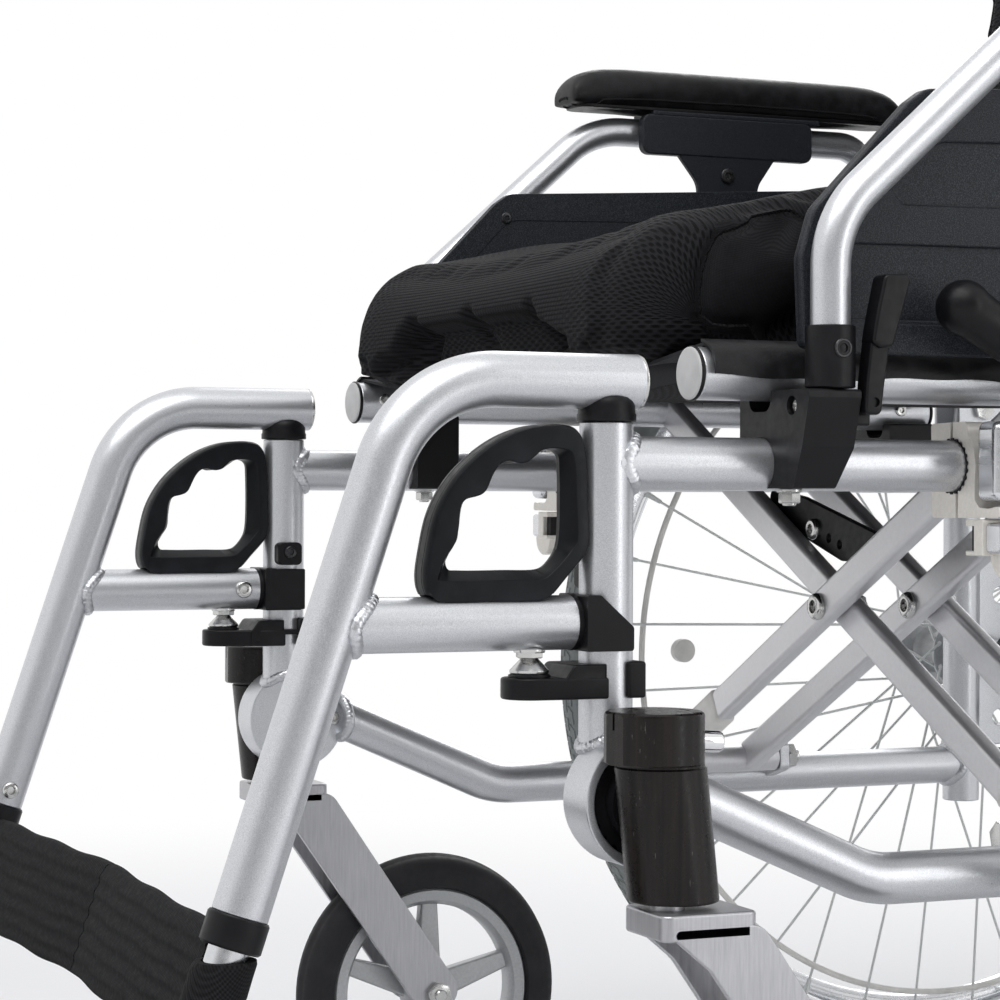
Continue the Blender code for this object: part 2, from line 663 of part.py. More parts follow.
def release_handle():
    """Hand-sized loop with finger waves on its front side, in the corner of the post and the crossbar."""
    outer = [(-73, 0), (-81, 8.5), (-81, 15.5), (-77, 28.5), (-72, 41.5), (-65, 53.5), (-55, 62.5)]
    outer += [(-43, 69.5), (-29, 74.5), (-18, 76.5), (-9, 76.5), (-4, 74.5), (-0.8, 69.5), (0, 59.5)]
    outer += [(0, 20.5), (-3.5, 13.5), (-17, 0)]
    inner = [(-69, 14.5), (-63, 23.5), (-62, 33.5), (-60, 42.5), (-56, 45.5), (-51, 46.5), (-47, 52.5)]
    inner += [(-43, 58.5), (-38, 61.5), (-29, 60.5), (-24, 63.5), (-19, 66.5), (-16, 66.5), (-13, 63.5)]
    inner += [(-12, 57.5), (-12.5, 24.5), (-14, 19.5), (-19, 12.5), (-25, 11), (-63, 11)]
    corner_y = -TUBE_R - GAP
    corner_z = CROSSBAR_Z + TUBE_R + HANDLE_CLEAR
    loops = [[(corner_y + y, corner_z + z) for y, z in loop] for loop in (outer, inner)]
    half = HANDLE_W / 2
    return plate(loops, "X", FRAME_X - half, FRAME_X + half, 2.2)


def calf_strap():
    """Half of the padded strap behind the calves, its outer end looped round the hanger's lower tube."""
    mid_y = hanger_y(196)
    front = []
    back = []
    for k in range(7):
        t = k / 6
        x = 0.6 + t * 222
        y = mid_y - 1 + 9 * (1 - t) ** 1.5
        front.append((x, y - 4.5))
        back.append((x, y + 4.5))
    strap = plate([front + list(reversed(back))], "Z", 168, 224)
    loop = rod((FRAME_X, mid_y, 170), (FRAME_X, mid_y, 212.5), 15.0, sides=12)
    hole = rod((FRAME_X, mid_y, 160), (FRAME_X, mid_y, 230), 10.9, sides=12)
    relief = rod((FRAME_X, mid_y, 212.4), (FRAME_X, mid_y, 240), 17.5, sides=12)
    whole = shaped(strap, [loop], [hole, relief])
    lean(whole, 196)
    return whole


def lean(mesh, z_mid):
    """Slope a piece to follow the hanger's leg."""
    for v in mesh.vertices:
        v.co.y += (v.co.z - z_mid) * HANGER_SLOPE


def ring_points(cx, cy, r, count):
    turns = [2 * math.pi * k / count for k in range(count)]
    return [(cx + r * math.cos(a), cy + r * math.sin(a)) for a in turns]


def footplate():
    """Flip-up plate on a sleeve round the lower tube."""
    y1 = hanger_y(FOOT_Z + FOOT_DROP) - FOOT_BACK
    y0 = hanger_y(FOOT_Z + FOOT_DROP) - FOOT_REACH
    outline = [(FOOT_IN_X, y0 + 14), (FOOT_IN_X + 18, y0), (224, y0), (224, y1), (FOOT_IN_X + 8, y1)]
    corners = rounded(outline, [16, 20, 0, 0, 14], 2)
    plate_mesh = plate([corners], "Z", FOOT_Z - FOOT_T / 2, FOOT_Z + FOOT_T / 2, 1.2)
    sleeve = rod((FRAME_X, y0, FOOT_Z), (FRAME_X, y1, FOOT_Z), 14.0, sides=12)
    bore = rod((FRAME_X, y0 - 5, FOOT_Z), (FRAME_X, y1 + 5, FOOT_Z), EXT_R + 2 * GAP, sides=12)
    tread = FOOT_Z + FOOT_T / 2
    ribs = []
    for k in range(3):
        ribs.append(box(FOOT_IN_X + 24, 221, y0 + 28 + 32 * k, y0 + 34 + 32 * k, tread - 1, tread + 1.6))
    return shaped(plate_mesh, [sleeve] + ribs, [bore])


def armrest_tube():
    x = ARM_X
    path = [(x, ARM_FRONT_Y, 471), (x, ARM_FRONT_Y, 547), (x, 228, ARM_TOP_Z)]
    path += [(x, ARM_REAR_Y, ARM_TOP_Z), (x, ARM_REAR_Y, 485)]
    return tube(bend(path, [52.0, 60.0, 55.0], 4), ARM_R, 2)


def armrest_panel():
    """Side panel, front foot, rear foot and the clip that carries the pad."""
    edge = [(93, 487), (91, 530), (98, 553), (150, 607), (160, 614), (440, 630), (450, 622), (450, 487)]
    panel = plate([rounded(edge, [4, 14, 14, 8, 10, 8, 8, 6])], "X", PANEL_IN, PANEL_IN + PANEL_T - 2)
    ridge = [(128, 500), (126, 530), (140, 560), (172, 590), (412, 604), (412, 500)]
    field = plate([rounded(ridge, 10)], "X", PANEL_IN + 2, PANEL_IN + PANEL_T)
    clip_edge = rounded([(262, 650), (398, 650), (398, 672), (262, 672)], 8)
    clip = plate([clip_edge], "X", PANEL_IN + 1, PANEL_IN + 8)
    stem_edge = rounded([(300, 606), (346, 606), (354, 652), (292, 652)], 4)
    stem = plate([stem_edge], "X", PANEL_IN + 1, PANEL_IN + 6.5)
    top = box(PANEL_IN + 1, 280, 266, 394, 671.8, 675.5, 0)
    body = shaped(panel, [field, clip, stem, top])
    foot = rod((ARM_X, ARM_FRONT_Y, 467.5), (ARM_X, ARM_FRONT_Y, 497), ARM_R + 2.2, sides=14)
    foot_arm = box(251, 262, ARM_FRONT_Y - 4, ARM_FRONT_Y + 8, 488, 496.5, 0)
    rear = box(258.2, 277.8, 433, 457, ARM_PIVOT_Z, 490, 0)
    cup = box(255, 281, 433, 457, 482, 503, 0)
    link = box(251, 262, 433.5, 452, 482.5, 499, 0)
    knuckle = rod((258.2, ARM_REAR_Y, ARM_PIVOT_Z), (277.8, ARM_REAR_Y, ARM_PIVOT_Z), 12.0, sides=12)
    screw = rod((278, ARM_FRONT_Y, 486), (281, ARM_FRONT_Y, 486), 4.2, sides=8)
    bores = [
        rod((ARM_X, ARM_FRONT_Y, 470.7), (ARM_X, ARM_FRONT_Y, 520), ARM_R + GAP, sides=14),
        rod((ARM_X, ARM_REAR_Y, 484.7), (ARM_X, ARM_REAR_Y, 520), ARM_R + GAP, sides=14),
        rod((250, ARM_REAR_Y, ARM_PIVOT_Z), (290, ARM_REAR_Y, ARM_PIVOT_Z), 4.3, sides=12),
    ]
    return shaped(shaped(body, [foot, foot_arm, rear, cup, link, knuckle, screw]), cuts=bores)


def armrest_latch():
    """Slanted finger lever behind the armrest's front foot, wider towards its top."""
    outline = [(111, 455), (122, 455), (124, 468), (127.5, 487), (130, 502), (135.5, 521.4), (120.5, 520.8)]
    outline += [(116.5, 503), (114.5, 488), (112.3, 470)]
    body = plate([rounded(outline, [3, 3, 3, 5, 5, 3, 3, 5, 5, 3])], "X", LATCH_IN, LATCH_IN + 9.5)
    screw = rod((LATCH_IN + 8, 116.5, 461), (LATCH_IN + 11, 116.5, 461), 4.0, sides=8)
    return shaped(body, [screw])


def brake_lever():
    """Push handle with a round grip, turning on the brake mount, with the bar that presses on the tyre."""
    x = 276.0
    grip = shaped(ball((x, 168, 508), 15.0, 8, 6), [rod((x, 168, 508), (x, 231, 480.5), 13.5, 8.5, sides=8)])
    arm = tube([(x, 224, 483.5), (x, 240, 476), (x, 246, 462), (x, 246, 447)], 5.5, 2)
    eye = rod((269, 246, 447), (281.5, 246, 447), 11.0, sides=10)
    hole = rod((260, 246, 447), (290, 246, 447), 5.4, sides=10)
    shoe_arm = plate([rounded([(236, 452), (250, 442), (240, 410), (227, 412)], 5)], "X", 269.0, 274.0)
    bar = rod((272, 233, 417), (316, 233, 417), 7.0, sides=8)
    return shaped(shaped(grip, [arm, eye, shoe_arm, bar]), cuts=[hole])


def brace(front_y, side):
    """Two flat bars from the far lower pivot up to the seat tube on one side."""
    s = side
    pieces = []
    for y in (front_y, front_y + BAR_PITCH):
        start = Vector((-s * (PIVOT_X - 2), y, PIVOT_Z + 0.9))
        end = Vector((s * (SEAT_X - 6), y, SEAT_Z - 3))
        pieces.append(bar(start, end))
    seat = tube([(s * SEAT_X, SEAT_FRONT, SEAT_Z), (s * SEAT_X, SEAT_REAR, SEAT_Z)], TUBE_R)
    low_x = -s * PIVOT_X
    rear_y = BAR_A_Y + BAR_PITCH
    sleeve = rod((low_x, BAR_A_Y - 7.5, PIVOT_Z), (low_x, rear_y + 19.5, PIVOT_Z), 9.0, sides=14)
    bore = rod((low_x, BAR_A_Y - 30, PIVOT_Z), (low_x, rear_y + 50, PIVOT_Z), PIN_R + 0.4, sides=14)
    return shaped(seat, pieces + [sleeve], [bore])


def bar(start, end):
    """Rounded flat bar between two points at one depth."""
    run = end - start
    length = run.length
    bm = bmesh.new()
    bmesh.ops.create_cube(bm, size=1.0)
    for v in bm.verts:
        v.co.x *= length
        v.co.y *= BAR_D - 0.6
        v.co.z *= BAR_H
    long_edges = [e for e in bm.edges if abs(e.verts[0].co.x - e.verts[1].co.x) > 1]
    bmesh.ops.bevel(bm, geom=long_edges, offset=3.5, segments=1, affect="EDGES", profile=0.5)
    turn = Vector((1, 0, 0)).rotation_difference(run.normalized()).to_matrix().to_4x4()
    bm.transform(Matrix.Translation((start + end) / 2) @ turn)
    mesh = bpy.data.meshes.new("bar")
    bm.to_mesh(mesh)
    bm.free()
    return mesh


def braces():
    """Both brace pieces, their centre bolts and the black stay."""
    a_y = BAR_A_Y
    b_y = BAR_A_Y + BAR_D + GAP
    hole = [rod((0, a_y - 30, CROSS_Z), (0, a_y + 120, CROSS_Z), 4.4, sides=12)]
    bolts = []
    for y in (a_y, a_y + BAR_PITCH):
        back = y + BAR_D * 1.5
        bolts.append(rod((0, y - 9.5, CROSS_Z), (0, y - 6.0 + GAP, CROSS_Z), 6.5, 7.5, sides=10))
        bolts.append(rod((0, y - 7, CROSS_Z), (0, back + 4, CROSS_Z), 4.0, sides=10))
        bolts.append(rod((0, back + 1.2, CROSS_Z), (0, back + 6, CROSS_Z), 7.0, sides=6))
    a = shaped(brace(a_y, 1), [bar_sleeve(a_y, 1)])
    b = shaped(brace(b_y, -1), cuts=[hole[0]])
    a = shaped(a, bolts)
    place("cross_brace_a", a, "brace_grey", (0, b_y, CROSS_Z))
    place("cross_brace_b", b, "brace_grey", (PIVOT_X, b_y, PIVOT_Z))
    stay_y = b_y + BAR_D / 2 + 0.1
    holes = [list(ring_points(*at, 2.6, 6)) for at in ((-38.6, 393.8), (-26, 390.2))]
    outline = [(-112, 424), (-70, 418.5), (39, 392), (36, 386), (-1, 381), (-24, 381), (-66, 394), (-108, 408)]
    nut = rod((-55, stay_y + 4, 399), (-55, stay_y + 9, 399), 7.0, sides=6)
    stay = shaped(plate([outline] + holes, "Y", stay_y, stay_y + 4.5), [nut])
    place("brace_stay", stay, "plastic_black", (PIVOT_X, b_y, PIVOT_Z))


def bar_sleeve(y, side):
    """Thicker wrap on the lower end of the front bar."""
    rise = (SEAT_Z - 3 - PIVOT_Z - 0.9) / (SEAT_X - 6 + PIVOT_X - 2)
    x0 = -side * (PIVOT_X - 14)
    x1 = -side * 112
    z0 = PIVOT_Z + 0.9 + (PIVOT_X - 2 - abs(x0)) * rise
    z1 = PIVOT_Z + 0.9 + (PIVOT_X - 2 - abs(x1)) * rise
    run = Vector((x1 - x0, 0, z1 - z0))
    bm = bmesh.new()
    bmesh.ops.create_cube(bm, size=1.0)
    for v in bm.verts:
        v.co.x *= run.length
        v.co.y *= BAR_D - 0.6
        v.co.z *= BAR_H + 2.4
        v.co.y -= 0.6
    turn = Vector((1, 0, 0)).rotation_difference(run.normalized()).to_matrix().to_4x4()
    bm.transform(Matrix.Translation(((x0 + x1) / 2, y, (z0 + z1) / 2)) @ turn)
    mesh = bpy.data.meshes.new("sleeve")
    bm.to_mesh(mesh)
    bm.free()
    return mesh


def cane_point(s, across=0.0):
    """Point along the cane (s up it, across to the rear of it) as working (y, z)."""
    a = math.radians(CANE_LEAN)
    y = HINGE_Y + s * math.sin(a) + across * math.cos(a)
    z = HINGE_Z + s * math.cos(a) - across * math.sin(a)
    return (y, z)


def back_cane():
    x = CANE_X
    low = cane_point(-13)
    top = cane_point(CANE_LEN)
    cane = tube([(x, *low), (x, *top)], CANE_R)
    root = cane_point(HANDLE_AT)
    end = (root[0] + 148, root[1] - 8)
    handle_path = [(x, root[0] + 2, root[1] - 40), (x, root[0] + 34, root[1]), (x, *end)]
    handle = tube(bend(handle_path, 26.0, 3), CANE_R - 0.5)
    angle = math.radians(STRUT_ANGLE)
    y = HINGE_Y + STRUT_ARM * math.cos(angle)
    z = HINGE_Z + STRUT_ARM * math.sin(angle)
    corners = [(HINGE_Y + 2, HINGE_Z - 6), (y + 9, z - 12), (y + 11, z + 6), (y - 4, z + 12)]
    corners.append((HINGE_Y + 6, HINGE_Z + 46))
    lug_plate = plate([rounded(corners, [2, 6, 6, 6, 4])], "X", 225.0, 231.0)
    hole = rod((200, HINGE_Y, HINGE_Z), (260, HINGE_Y, HINGE_Z), 4.4, sides=14)
    cap = rod((x, *cane_point(CANE_LEN - 1)), (x, *cane_point(CANE_LEN + 3)), CANE_R + 0.8, sides=12)
    return shaped(cane, [handle, lug_plate, cap], [hole])


def push_grip():
    root = cane_point(HANDLE_AT)
    x = CANE_X
    end = Vector((x, root[0] + 148, root[1] - 8))
    start = Vector((x, root[0] + 34, root[1]))
    along = (end - start).normalized()
    a = start + along * 24
    b = end + along * 7
    outer = tube([tuple(a), tuple(b)], 15.5, 4)
    flare = rod(tuple(a - along * 0), tuple(a + along * 5), 18.5, 17.0, sides=12)
    bore = rod(tuple(start - along * 10), tuple(end + along * 0.4), CANE_R, sides=14)
    return shaped(outer, [flare], [bore])


def recline_lever():
    """Squeeze lever under the grip that frees the back's struts."""
    root = cane_point(HANDLE_AT)
    y = root[0] + LEVER_BACK
    z = root[1] - LEVER_DROP
    outline = [(y - 4, z + 12.6), (y + 3.5, z + 11.6), (y + 5, z + 1), (y + 36, z - 12), (y + 82, z - 30)]
    outline += [(y + 86, z - 36), (y + 79, z - 40), (y + 31, z - 22), (y - 2, z - 8), (y - 9, z - 2)]
    return plate([rounded(outline, [1, 1, 2, 8, 4, 3, 4, 8, 4, 3])], "X", CANE_X - 5, CANE_X + 5)


def strut_y():
    full = HINGE_Y + STRUT_ARM
    low = HINGE_Y + STRUT_ARM * math.cos(math.radians(STRUT_ANGLE))
    return (full + low) / 2


def strut_top():
    return HINGE_Z + STRUT_ARM * math.sin(math.radians(STRUT_ANGLE))


def gas_cylinder():
    y = strut_y()
    profile = [(0, 275), (9.5, 275), (9.5, 402), (7.5, 405), (5.3, 405), (5.3, 290), (0, 290)]
    tube_mesh = turned_z(profile, (STRUT_X, y), 10)
    eye = rod((205.5, y, 264), (224.2, y, 264), 9.0, sides=10)
    neck = rod((STRUT_X, y, 264), (STRUT_X, y, 277), 7.0, sides=10)
    return shaped(tube_mesh, [eye, neck])


def turned_z(profile, centre, steps):
    """Profile of (radius, z) pairs turned about a vertical axis."""
    mesh = bpy.data.meshes.new("profile")
    mesh.from_pydata([(p[0], 0.0, p[1]) for p in profile], [(i, i + 1) for i in range(len(profile) - 1)], [])
    ob = bpy.data.objects.new("profile", mesh)
    CUTTERS.objects.link(ob)
    mod = ob.modifiers.new("turn", "SCREW")
    mod.axis = "Z"
    mod.steps = steps
    mod.render_steps = steps
    mod.use_merge_vertices = True
    mod.merge_threshold = 0.0001
    ob.location = (centre[0], centre[1], 0)
    bpy.context.view_layer.update()
    return baked(ob)


def gas_rod():
    y = strut_y()
    z = strut_top()
    shaft = rod((STRUT_X, y, 366), (STRUT_X, y, z - 2), 4.9, sides=10)
    eye = rod((205.5, y, z), (224.2, y, z), 8.5, sides=10)
    head = rod((202.5, y, z), (206, y, z), 6.0, sides=6)
    return shaped(shaft, [eye, head])


def grid_solid(cols, rows, point):
    """Closed padded body; point(u, v) gives the outer and the inner surface for u in -1..1 and v in 0..1."""
    bm = bmesh.new()
    outer = []
    inner = []
    for j in range(rows + 1):
        pairs = [point(-1 + 2 * i / cols, j / rows) for i in range(cols + 1)]
        outer.append([bm.verts.new(p[0]) for p in pairs])
        inner.append([bm.verts.new(p[1]) for p in pairs])
    for j in range(rows):
        for i in range(cols):
            bm.faces.new((outer[j][i], outer[j][i + 1], outer[j + 1][i + 1], outer[j + 1][i]))
            bm.faces.new((inner[j][i], inner[j + 1][i], inner[j + 1][i + 1], inner[j][i + 1]))
    for i in range(cols):
        bm.faces.new((inner[0][i], inner[0][i + 1], outer[0][i + 1], outer[0][i]))
        bm.faces.new((outer[rows][i], outer[rows][i + 1], inner[rows][i + 1], inner[rows][i]))
    for j in range(rows):
        bm.faces.new((outer[j][0], outer[j + 1][0], inner[j + 1][0], inner[j][0]))
        bm.faces.new((inner[j][cols], inner[j + 1][cols], outer[j + 1][cols], outer[j][cols]))
    bmesh.ops.recalc_face_normals(bm, faces=bm.faces)
    mesh = bpy.data.meshes.new("padded")
    bm.to_mesh(mesh)
    bm.free()
    return mesh


def sling_top(x):
    """Height of the fabric seat's upper face between the seat tubes."""
    return SEAT_Z + TUBE_R + CLOTH - SAG * (1 - (x / SEAT_X) ** 2)


def cushion_point(u, v):
    """Seat cushion: flat sides, dished and lifted top, rounded nose and front corners."""
    u = math.sin(u * math.pi / 2)
    v = (1 - math.cos(v * math.pi)) / 2
    x = u * CUSHION_W
    edge = max(0.0, 1 - abs(u) ** 12) ** 0.5
    turn = max(0.0, 1 - (CUSHION_W - abs(x)) / CUSHION_CORNER)
    front = CUSHION_FRONT + CUSHION_CORNER * (1 - math.sqrt(max(0.0, 1 - turn * turn)))
    y = front + (CUSHION_REAR - front) * v
    nose = min(1.0, (y - front) / (46.0 - 14.0 * u ** 4))
    round_nose = math.sqrt(max(0.0, 1 - (1 - nose) ** 2))
    tail = min(1.0, (CUSHION_REAR - y) / 24.0)
    round_tail = math.sqrt(max(0.0, 1 - (1 - tail) ** 2))
    full = CUSHION_TOP_Z + 17.0 * smooth((y - 60.0) / 110.0) - 11.0 * (1 - u * u)
    swell = (0.88 + 0.12 * edge) * round_nose * (0.35 + 0.65 * round_tail)
    base = sling_top(x) + 0.4 + 5.5 * (1 - edge) + 6.0 * (1 - round_nose) + 4.0 * (1 - round_tail)
    return (x, y, CUSHION_NOSE_Z + (full - CUSHION_NOSE_Z) * swell), (x, y, base)


def smooth(t):
    t = min(1.0, max(0.0, t))
    return t * t * (3 - 2 * t)


def seat_sling():
    """Fabric seat laid over both seat tubes, hanging slightly between them."""
    r_in = TUBE_R + 0.4
    r_out = TUBE_R + CLOTH
    outer = []
    inner = []
    for k in range(5):
        a = math.radians(0 + 90 * k / 4)
        outer.append((SEAT_X + r_out * math.cos(a), SEAT_Z + r_out * math.sin(a)))
        inner.append((SEAT_X + r_in * math.cos(a), SEAT_Z + r_in * math.sin(a)))
    span = []
    under = []
    for k in range(1, 12):
        t = -1 + 2 * k / 12
        sag = SAG * (1 - t * t)
        span.append((-t * SEAT_X, SEAT_Z + r_out - sag))
        under.append((-t * SEAT_X, SEAT_Z + r_in - sag))
    left_outer = [(-p[0], p[1]) for p in reversed(outer)]
    left_inner = [(-p[0], p[1]) for p in reversed(inner)]
    back = left_inner[::-1] + under[::-1] + inner[::-1]
    outline = outer + span + left_outer + back
    return plate([outline], "Y", 52, 460)


def back_hollow(x):
    """How far the back panel hangs rearward between the canes."""
    return 22 * max(0.0, 1 - (x / (CANE_X - 51)) ** 2)


def on_cane(x, s, across):
    y, z = cane_point(s, across)
    return (x, y, z)


def back_point(u, v):
    """Back upholstery: five padded channels in front of the canes, drawn in at the edges."""
    x = u * (CANE_X + CANE_R)
    s = 34 + 496 * v
    edge = (1 - abs(u) ** 6) ** 0.5 * max(0.0, 1 - (2 * v - 1) ** 14) ** 0.5
    channel = abs(math.sin(math.pi * 5 * v)) ** 0.4
    thick = 6 + (9 + 5 * channel) * edge
    rear = back_hollow(x) - CANE_R - 0.1
    return on_cane(x, s, rear - thick), on_cane(x, s, rear)


def headrest_point(u, v):
    """Head support: hollowed in the middle, its back following the upholstery."""
    x = u * 135
    s = 398 + 122 * v
    edge = (1 - abs(u) ** 5) ** 0.5 * max(0.0, 1 - (2 * v - 1) ** 6) ** 0.5
    rear = back_hollow(x) - CANE_R - 21.1
    thick = 12 + (22 + 9 * u * u) * edge
    return on_cane(x, s, rear - thick), on_cane(x, s, rear)


def pad_point(u, v):
    """Arm pad: flat underneath, crowned and rounded on top."""
    x = (PAD_IN + PAD_OUT) / 2 + u * (PAD_OUT - PAD_IN) / 2
    y = 205 + 257 * v
    edge = (1 - abs(u) ** 4) ** 0.5 * max(0.0, 1 - (2 * v - 1) ** 10) ** 0.5
    return (x, y, 684 + 20 * edge), (x, y, 676)


def anti_tipper():
    """Sprung-button tube in the rear post's foot, turned back and down to a small wheel."""
    x = FRAME_X
    start_y = REAR_POST_Y + TUBE_R + GAP
    path = [(x, start_y, LOWER_Z), (x, REAR_POST_Y + 120, LOWER_Z), (x, REAR_POST_Y + 215, 90)]
    arm = tube(bend(path, 45.0), 8.0, 2)
    socket = rod((x, REAR_POST_Y + TUBE_R - GAP, LOWER_Z), (x, REAR_POST_Y + 34, LOWER_Z), 10.5, sides=12)
    wheel = rod((x - 9, REAR_POST_Y + 217, 86), (x + 9, REAR_POST_Y + 217, 86), 24.0, sides=16)
    return shaped(arm, [socket, wheel])


def build():
    clean_scene()
    make_collections()
    make_materials()
    both("side_frame", side_frame(), "frame_silver")
    both("stop_block", stop_block(), "plastic_black")
    both("front_socket", socket_block(SOCKET_FRONT, SOCKET_BACK, True), "plastic_black")
    both("rear_socket", socket_block(ARM_REAR_Y - 17, ARM_REAR_Y + 17, False), "plastic_black")
    both("brake_mount", brake_mount(), "bracket_alloy")
    both("caster_housing", caster_housing(), "housing_black")
    both("caster_fork", caster_fork(), "fork_grey", (STEM_X, STEM_Y, FORK_TOP))
    both("caster_wheel", caster_wheel(), "caster_grey", (STEM_X, STEM_Y + CASTER_TRAIL, CASTER_R))
    axle = (WHEEL_X, AXLE_Y, AXLE_Z)
    both("rear_tyre", rear_tyre(), "tyre_grey", axle)
    both("rear_wheel", rear_rim(), "rim_steel", axle)
    post = (FRAME_X, 0, HANGER_TOP_Z)
    both("hanger", hanger(), "frame_silver", post)
    both("hanger_saddle", hanger_saddle(), "plastic_black", post)
    both("calf_strap", calf_strap(), "mesh_black", post)
    both("release_handle", release_handle(), "plastic_black", (FRAME_X, -16, 444))
    foot_y = hanger_y(FOOT_Z + FOOT_DROP) - 60
    both("footplate", footplate(), "plastic_black", (FRAME_X, foot_y, FOOT_Z))
    arm = (ARM_X, ARM_REAR_Y, ARM_PIVOT_Z)
    both("armrest_tube", armrest_tube(), "frame_silver", arm)
    both("armrest_panel", armrest_panel(), "panel_black", arm)
    both("arm_pad", grid_solid(4, 7, pad_point), "pad_black", arm)
    both("armrest_latch", armrest_latch(), "plastic_black", (LATCH_IN + 4, 116.5, 461))
    both("brake_lever", brake_lever(), "plastic_black", (276, 246, 447))
    braces()
    hinge = (CANE_X, HINGE_Y, HINGE_Z)
    both("back_cane", back_cane(), "frame_silver", hinge)
    both("push_grip", push_grip(), "grip_black", hinge)
    root = cane_point(HANDLE_AT)
    lever = (CANE_X, root[0] + LEVER_BACK, root[1] - LEVER_DROP)
    both("recline_lever", recline_lever(), "plastic_black", lever)
    both("gas_cylinder", gas_cylinder(), "plastic_black")
    both("gas_rod", gas_rod(), "rod_chrome", (STRUT_X, strut_y(), strut_top()))
    place("seat_sling", seat_sling(), "sling_grey", (SEAT_X, 250, SEAT_Z))
    place("seat_cushion", grid_solid(12, 13, cushion_point), "mesh_black", (SEAT_X, 250, SEAT_Z))
    place("back_upholstery", grid_solid(8, 15, back_point), "mesh_black", hinge)
    place("headrest", grid_solid(8, 6, headrest_point), "pad_black", hinge)
    both("anti_tipper", anti_tipper(), "plastic_black")


build()
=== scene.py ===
"""Finished look of the reclining wheelchair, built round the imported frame.
Sizes are millimetres in a working frame whose Y zero is the front post; place() moves a mesh to metres in
the frame's own place. piece() makes a single piece, pair() a left one and its mirror image."""
import math

import bmesh
import bpy
import numpy as np
from mathutils import Matrix, Vector
from mathutils.bvhtree import BVHTree
from mathutils.kdtree import KDTree


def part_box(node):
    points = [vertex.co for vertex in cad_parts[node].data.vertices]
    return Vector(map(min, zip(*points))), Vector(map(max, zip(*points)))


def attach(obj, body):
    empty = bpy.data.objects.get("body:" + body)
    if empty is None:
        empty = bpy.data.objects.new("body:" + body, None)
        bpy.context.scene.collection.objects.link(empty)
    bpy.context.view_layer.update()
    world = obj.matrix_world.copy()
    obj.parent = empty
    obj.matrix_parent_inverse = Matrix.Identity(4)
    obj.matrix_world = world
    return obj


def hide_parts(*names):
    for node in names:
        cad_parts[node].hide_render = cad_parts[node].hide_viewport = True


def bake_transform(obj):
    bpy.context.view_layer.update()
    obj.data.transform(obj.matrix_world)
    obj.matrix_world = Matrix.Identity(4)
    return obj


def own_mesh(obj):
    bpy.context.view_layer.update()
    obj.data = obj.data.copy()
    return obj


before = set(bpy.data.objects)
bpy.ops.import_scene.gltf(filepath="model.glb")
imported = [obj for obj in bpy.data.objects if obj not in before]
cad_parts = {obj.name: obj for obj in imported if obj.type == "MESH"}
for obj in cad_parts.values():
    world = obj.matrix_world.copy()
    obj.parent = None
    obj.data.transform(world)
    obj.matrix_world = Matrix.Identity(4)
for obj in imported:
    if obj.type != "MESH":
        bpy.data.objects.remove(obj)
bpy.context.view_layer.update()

# Directions on the left side
OUT = (1, 0, 0)
INWARD = (-1, 0, 0)
BACK = (0, 1, 0)
FRONT = (0, -1, 0)
UP = (0, 0, 1)
DOWN = (0, 0, -1)

MM = 0.001

# Sizes and places with the frame's own names
GAP = 0.3
TUBE_R = 12.7
FRAME_X = 233.0
SIDE_Z = 432.0
LOWER_Z = 230.0
POST_TOP = 451.0
RING_Y = 9.5
RING_Z = 276.0
RING_R = 31.0
RING_IN = 232.0
RING_OUT = 258.0
AXLE_Y = 529.0
AXLE_Z = 305.0
WHEEL_R = 305.0
WHEEL_X = 301.0
TYRE_R = 13.5
RIM_R = 283.0
HANDRIM_R = 262.0
HANDRIM_X = 327.0
STEM_X = 285.0
STEM_Y = 6.0
HOUSING_X = 281.5
HOUSING_Y = 1.2
HOUSING_R = 21.0
CASTER_R = 90.0
CASTER_TRAIL = 112.0
PIVOT_X = 208.0
PIVOT_Z = 243.0
CROSS_Z = 352.5
SEAT_X = 230.0
SEAT_Z = 475.0
SEAT_FRONT = 47.0
SEAT_REAR = 464.0
BAR_D = 12.0
BAR_PITCH = 62.0
CROSSBAR_Z = 358.0
FOOT_Z = 105.0
FOOT_DROP = 18.0
FOOT_REACH = 150.0
ARM_X = 268.0
ARM_R = 9.5
CANE_X = 231.0
CANE_R = 11.0
CANE_LEN = 560.0
HINGE_Y = 505.0
HINGE_Z = 478.0
HANDLE_AT = 468.0
STRUT_X = 213.5
SAG = 14.0
CLOTH = 2.4

# Further sizes and places; REFLECTORS are angles round the wheel
REAR_Y = 500.0
BAR_Y = 255.0
HANGER_Z = 470.0
KNEE_Y = -98.0
SLOPE = 0.336
ARM_FRONT = 99.5
ARM_TOP = 662.0
ARM_REAR = 445.0
PANEL_X = 248.0
LEAN = math.radians(8.0)
AXLE_HOLE = 6.7
SOCKET_Y0 = 82.0
SOCKET_Y1 = 110.0
CLAMP_Y0 = 190.0
CLAMP_Y1 = 209.0
BRAKE_Y = 246.0
BRAKE_Z = 447.0
BRAKE_X = 276.0
STOP_Y = -39.0
PAD_X = 264.75
TIP_Y = REAR_Y + 217
TIP_Z = 86.0
SPOKES = 36
THIN_RING_R = 247.0
REFLECTOR_R = 218.0
REFLECTORS = (3.12, 5.21, 1.03)
tyre_low, tyre_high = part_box("rear_tyre_left")
Y_MID = AXLE_Y - (tyre_low.y + tyre_high.y) / 2 / MM

# Materials by name
MATS = {}


# Node graph helpers

def shader_node(tree, kind, output, inputs=None, **settings):
    """New node's output, or all its outputs for None; each input takes a value or another node's output."""
    node = tree.nodes.new("ShaderNode" + kind)
    for key, value in settings.items():
        setattr(node, key, value)
    for key, value in (inputs or {}).items():
        if isinstance(value, bpy.types.NodeSocket):
            tree.links.new(value, node.inputs[key])
        else:
            node.inputs[key].default_value = value
    return node.outputs if output is None else node.outputs[output]


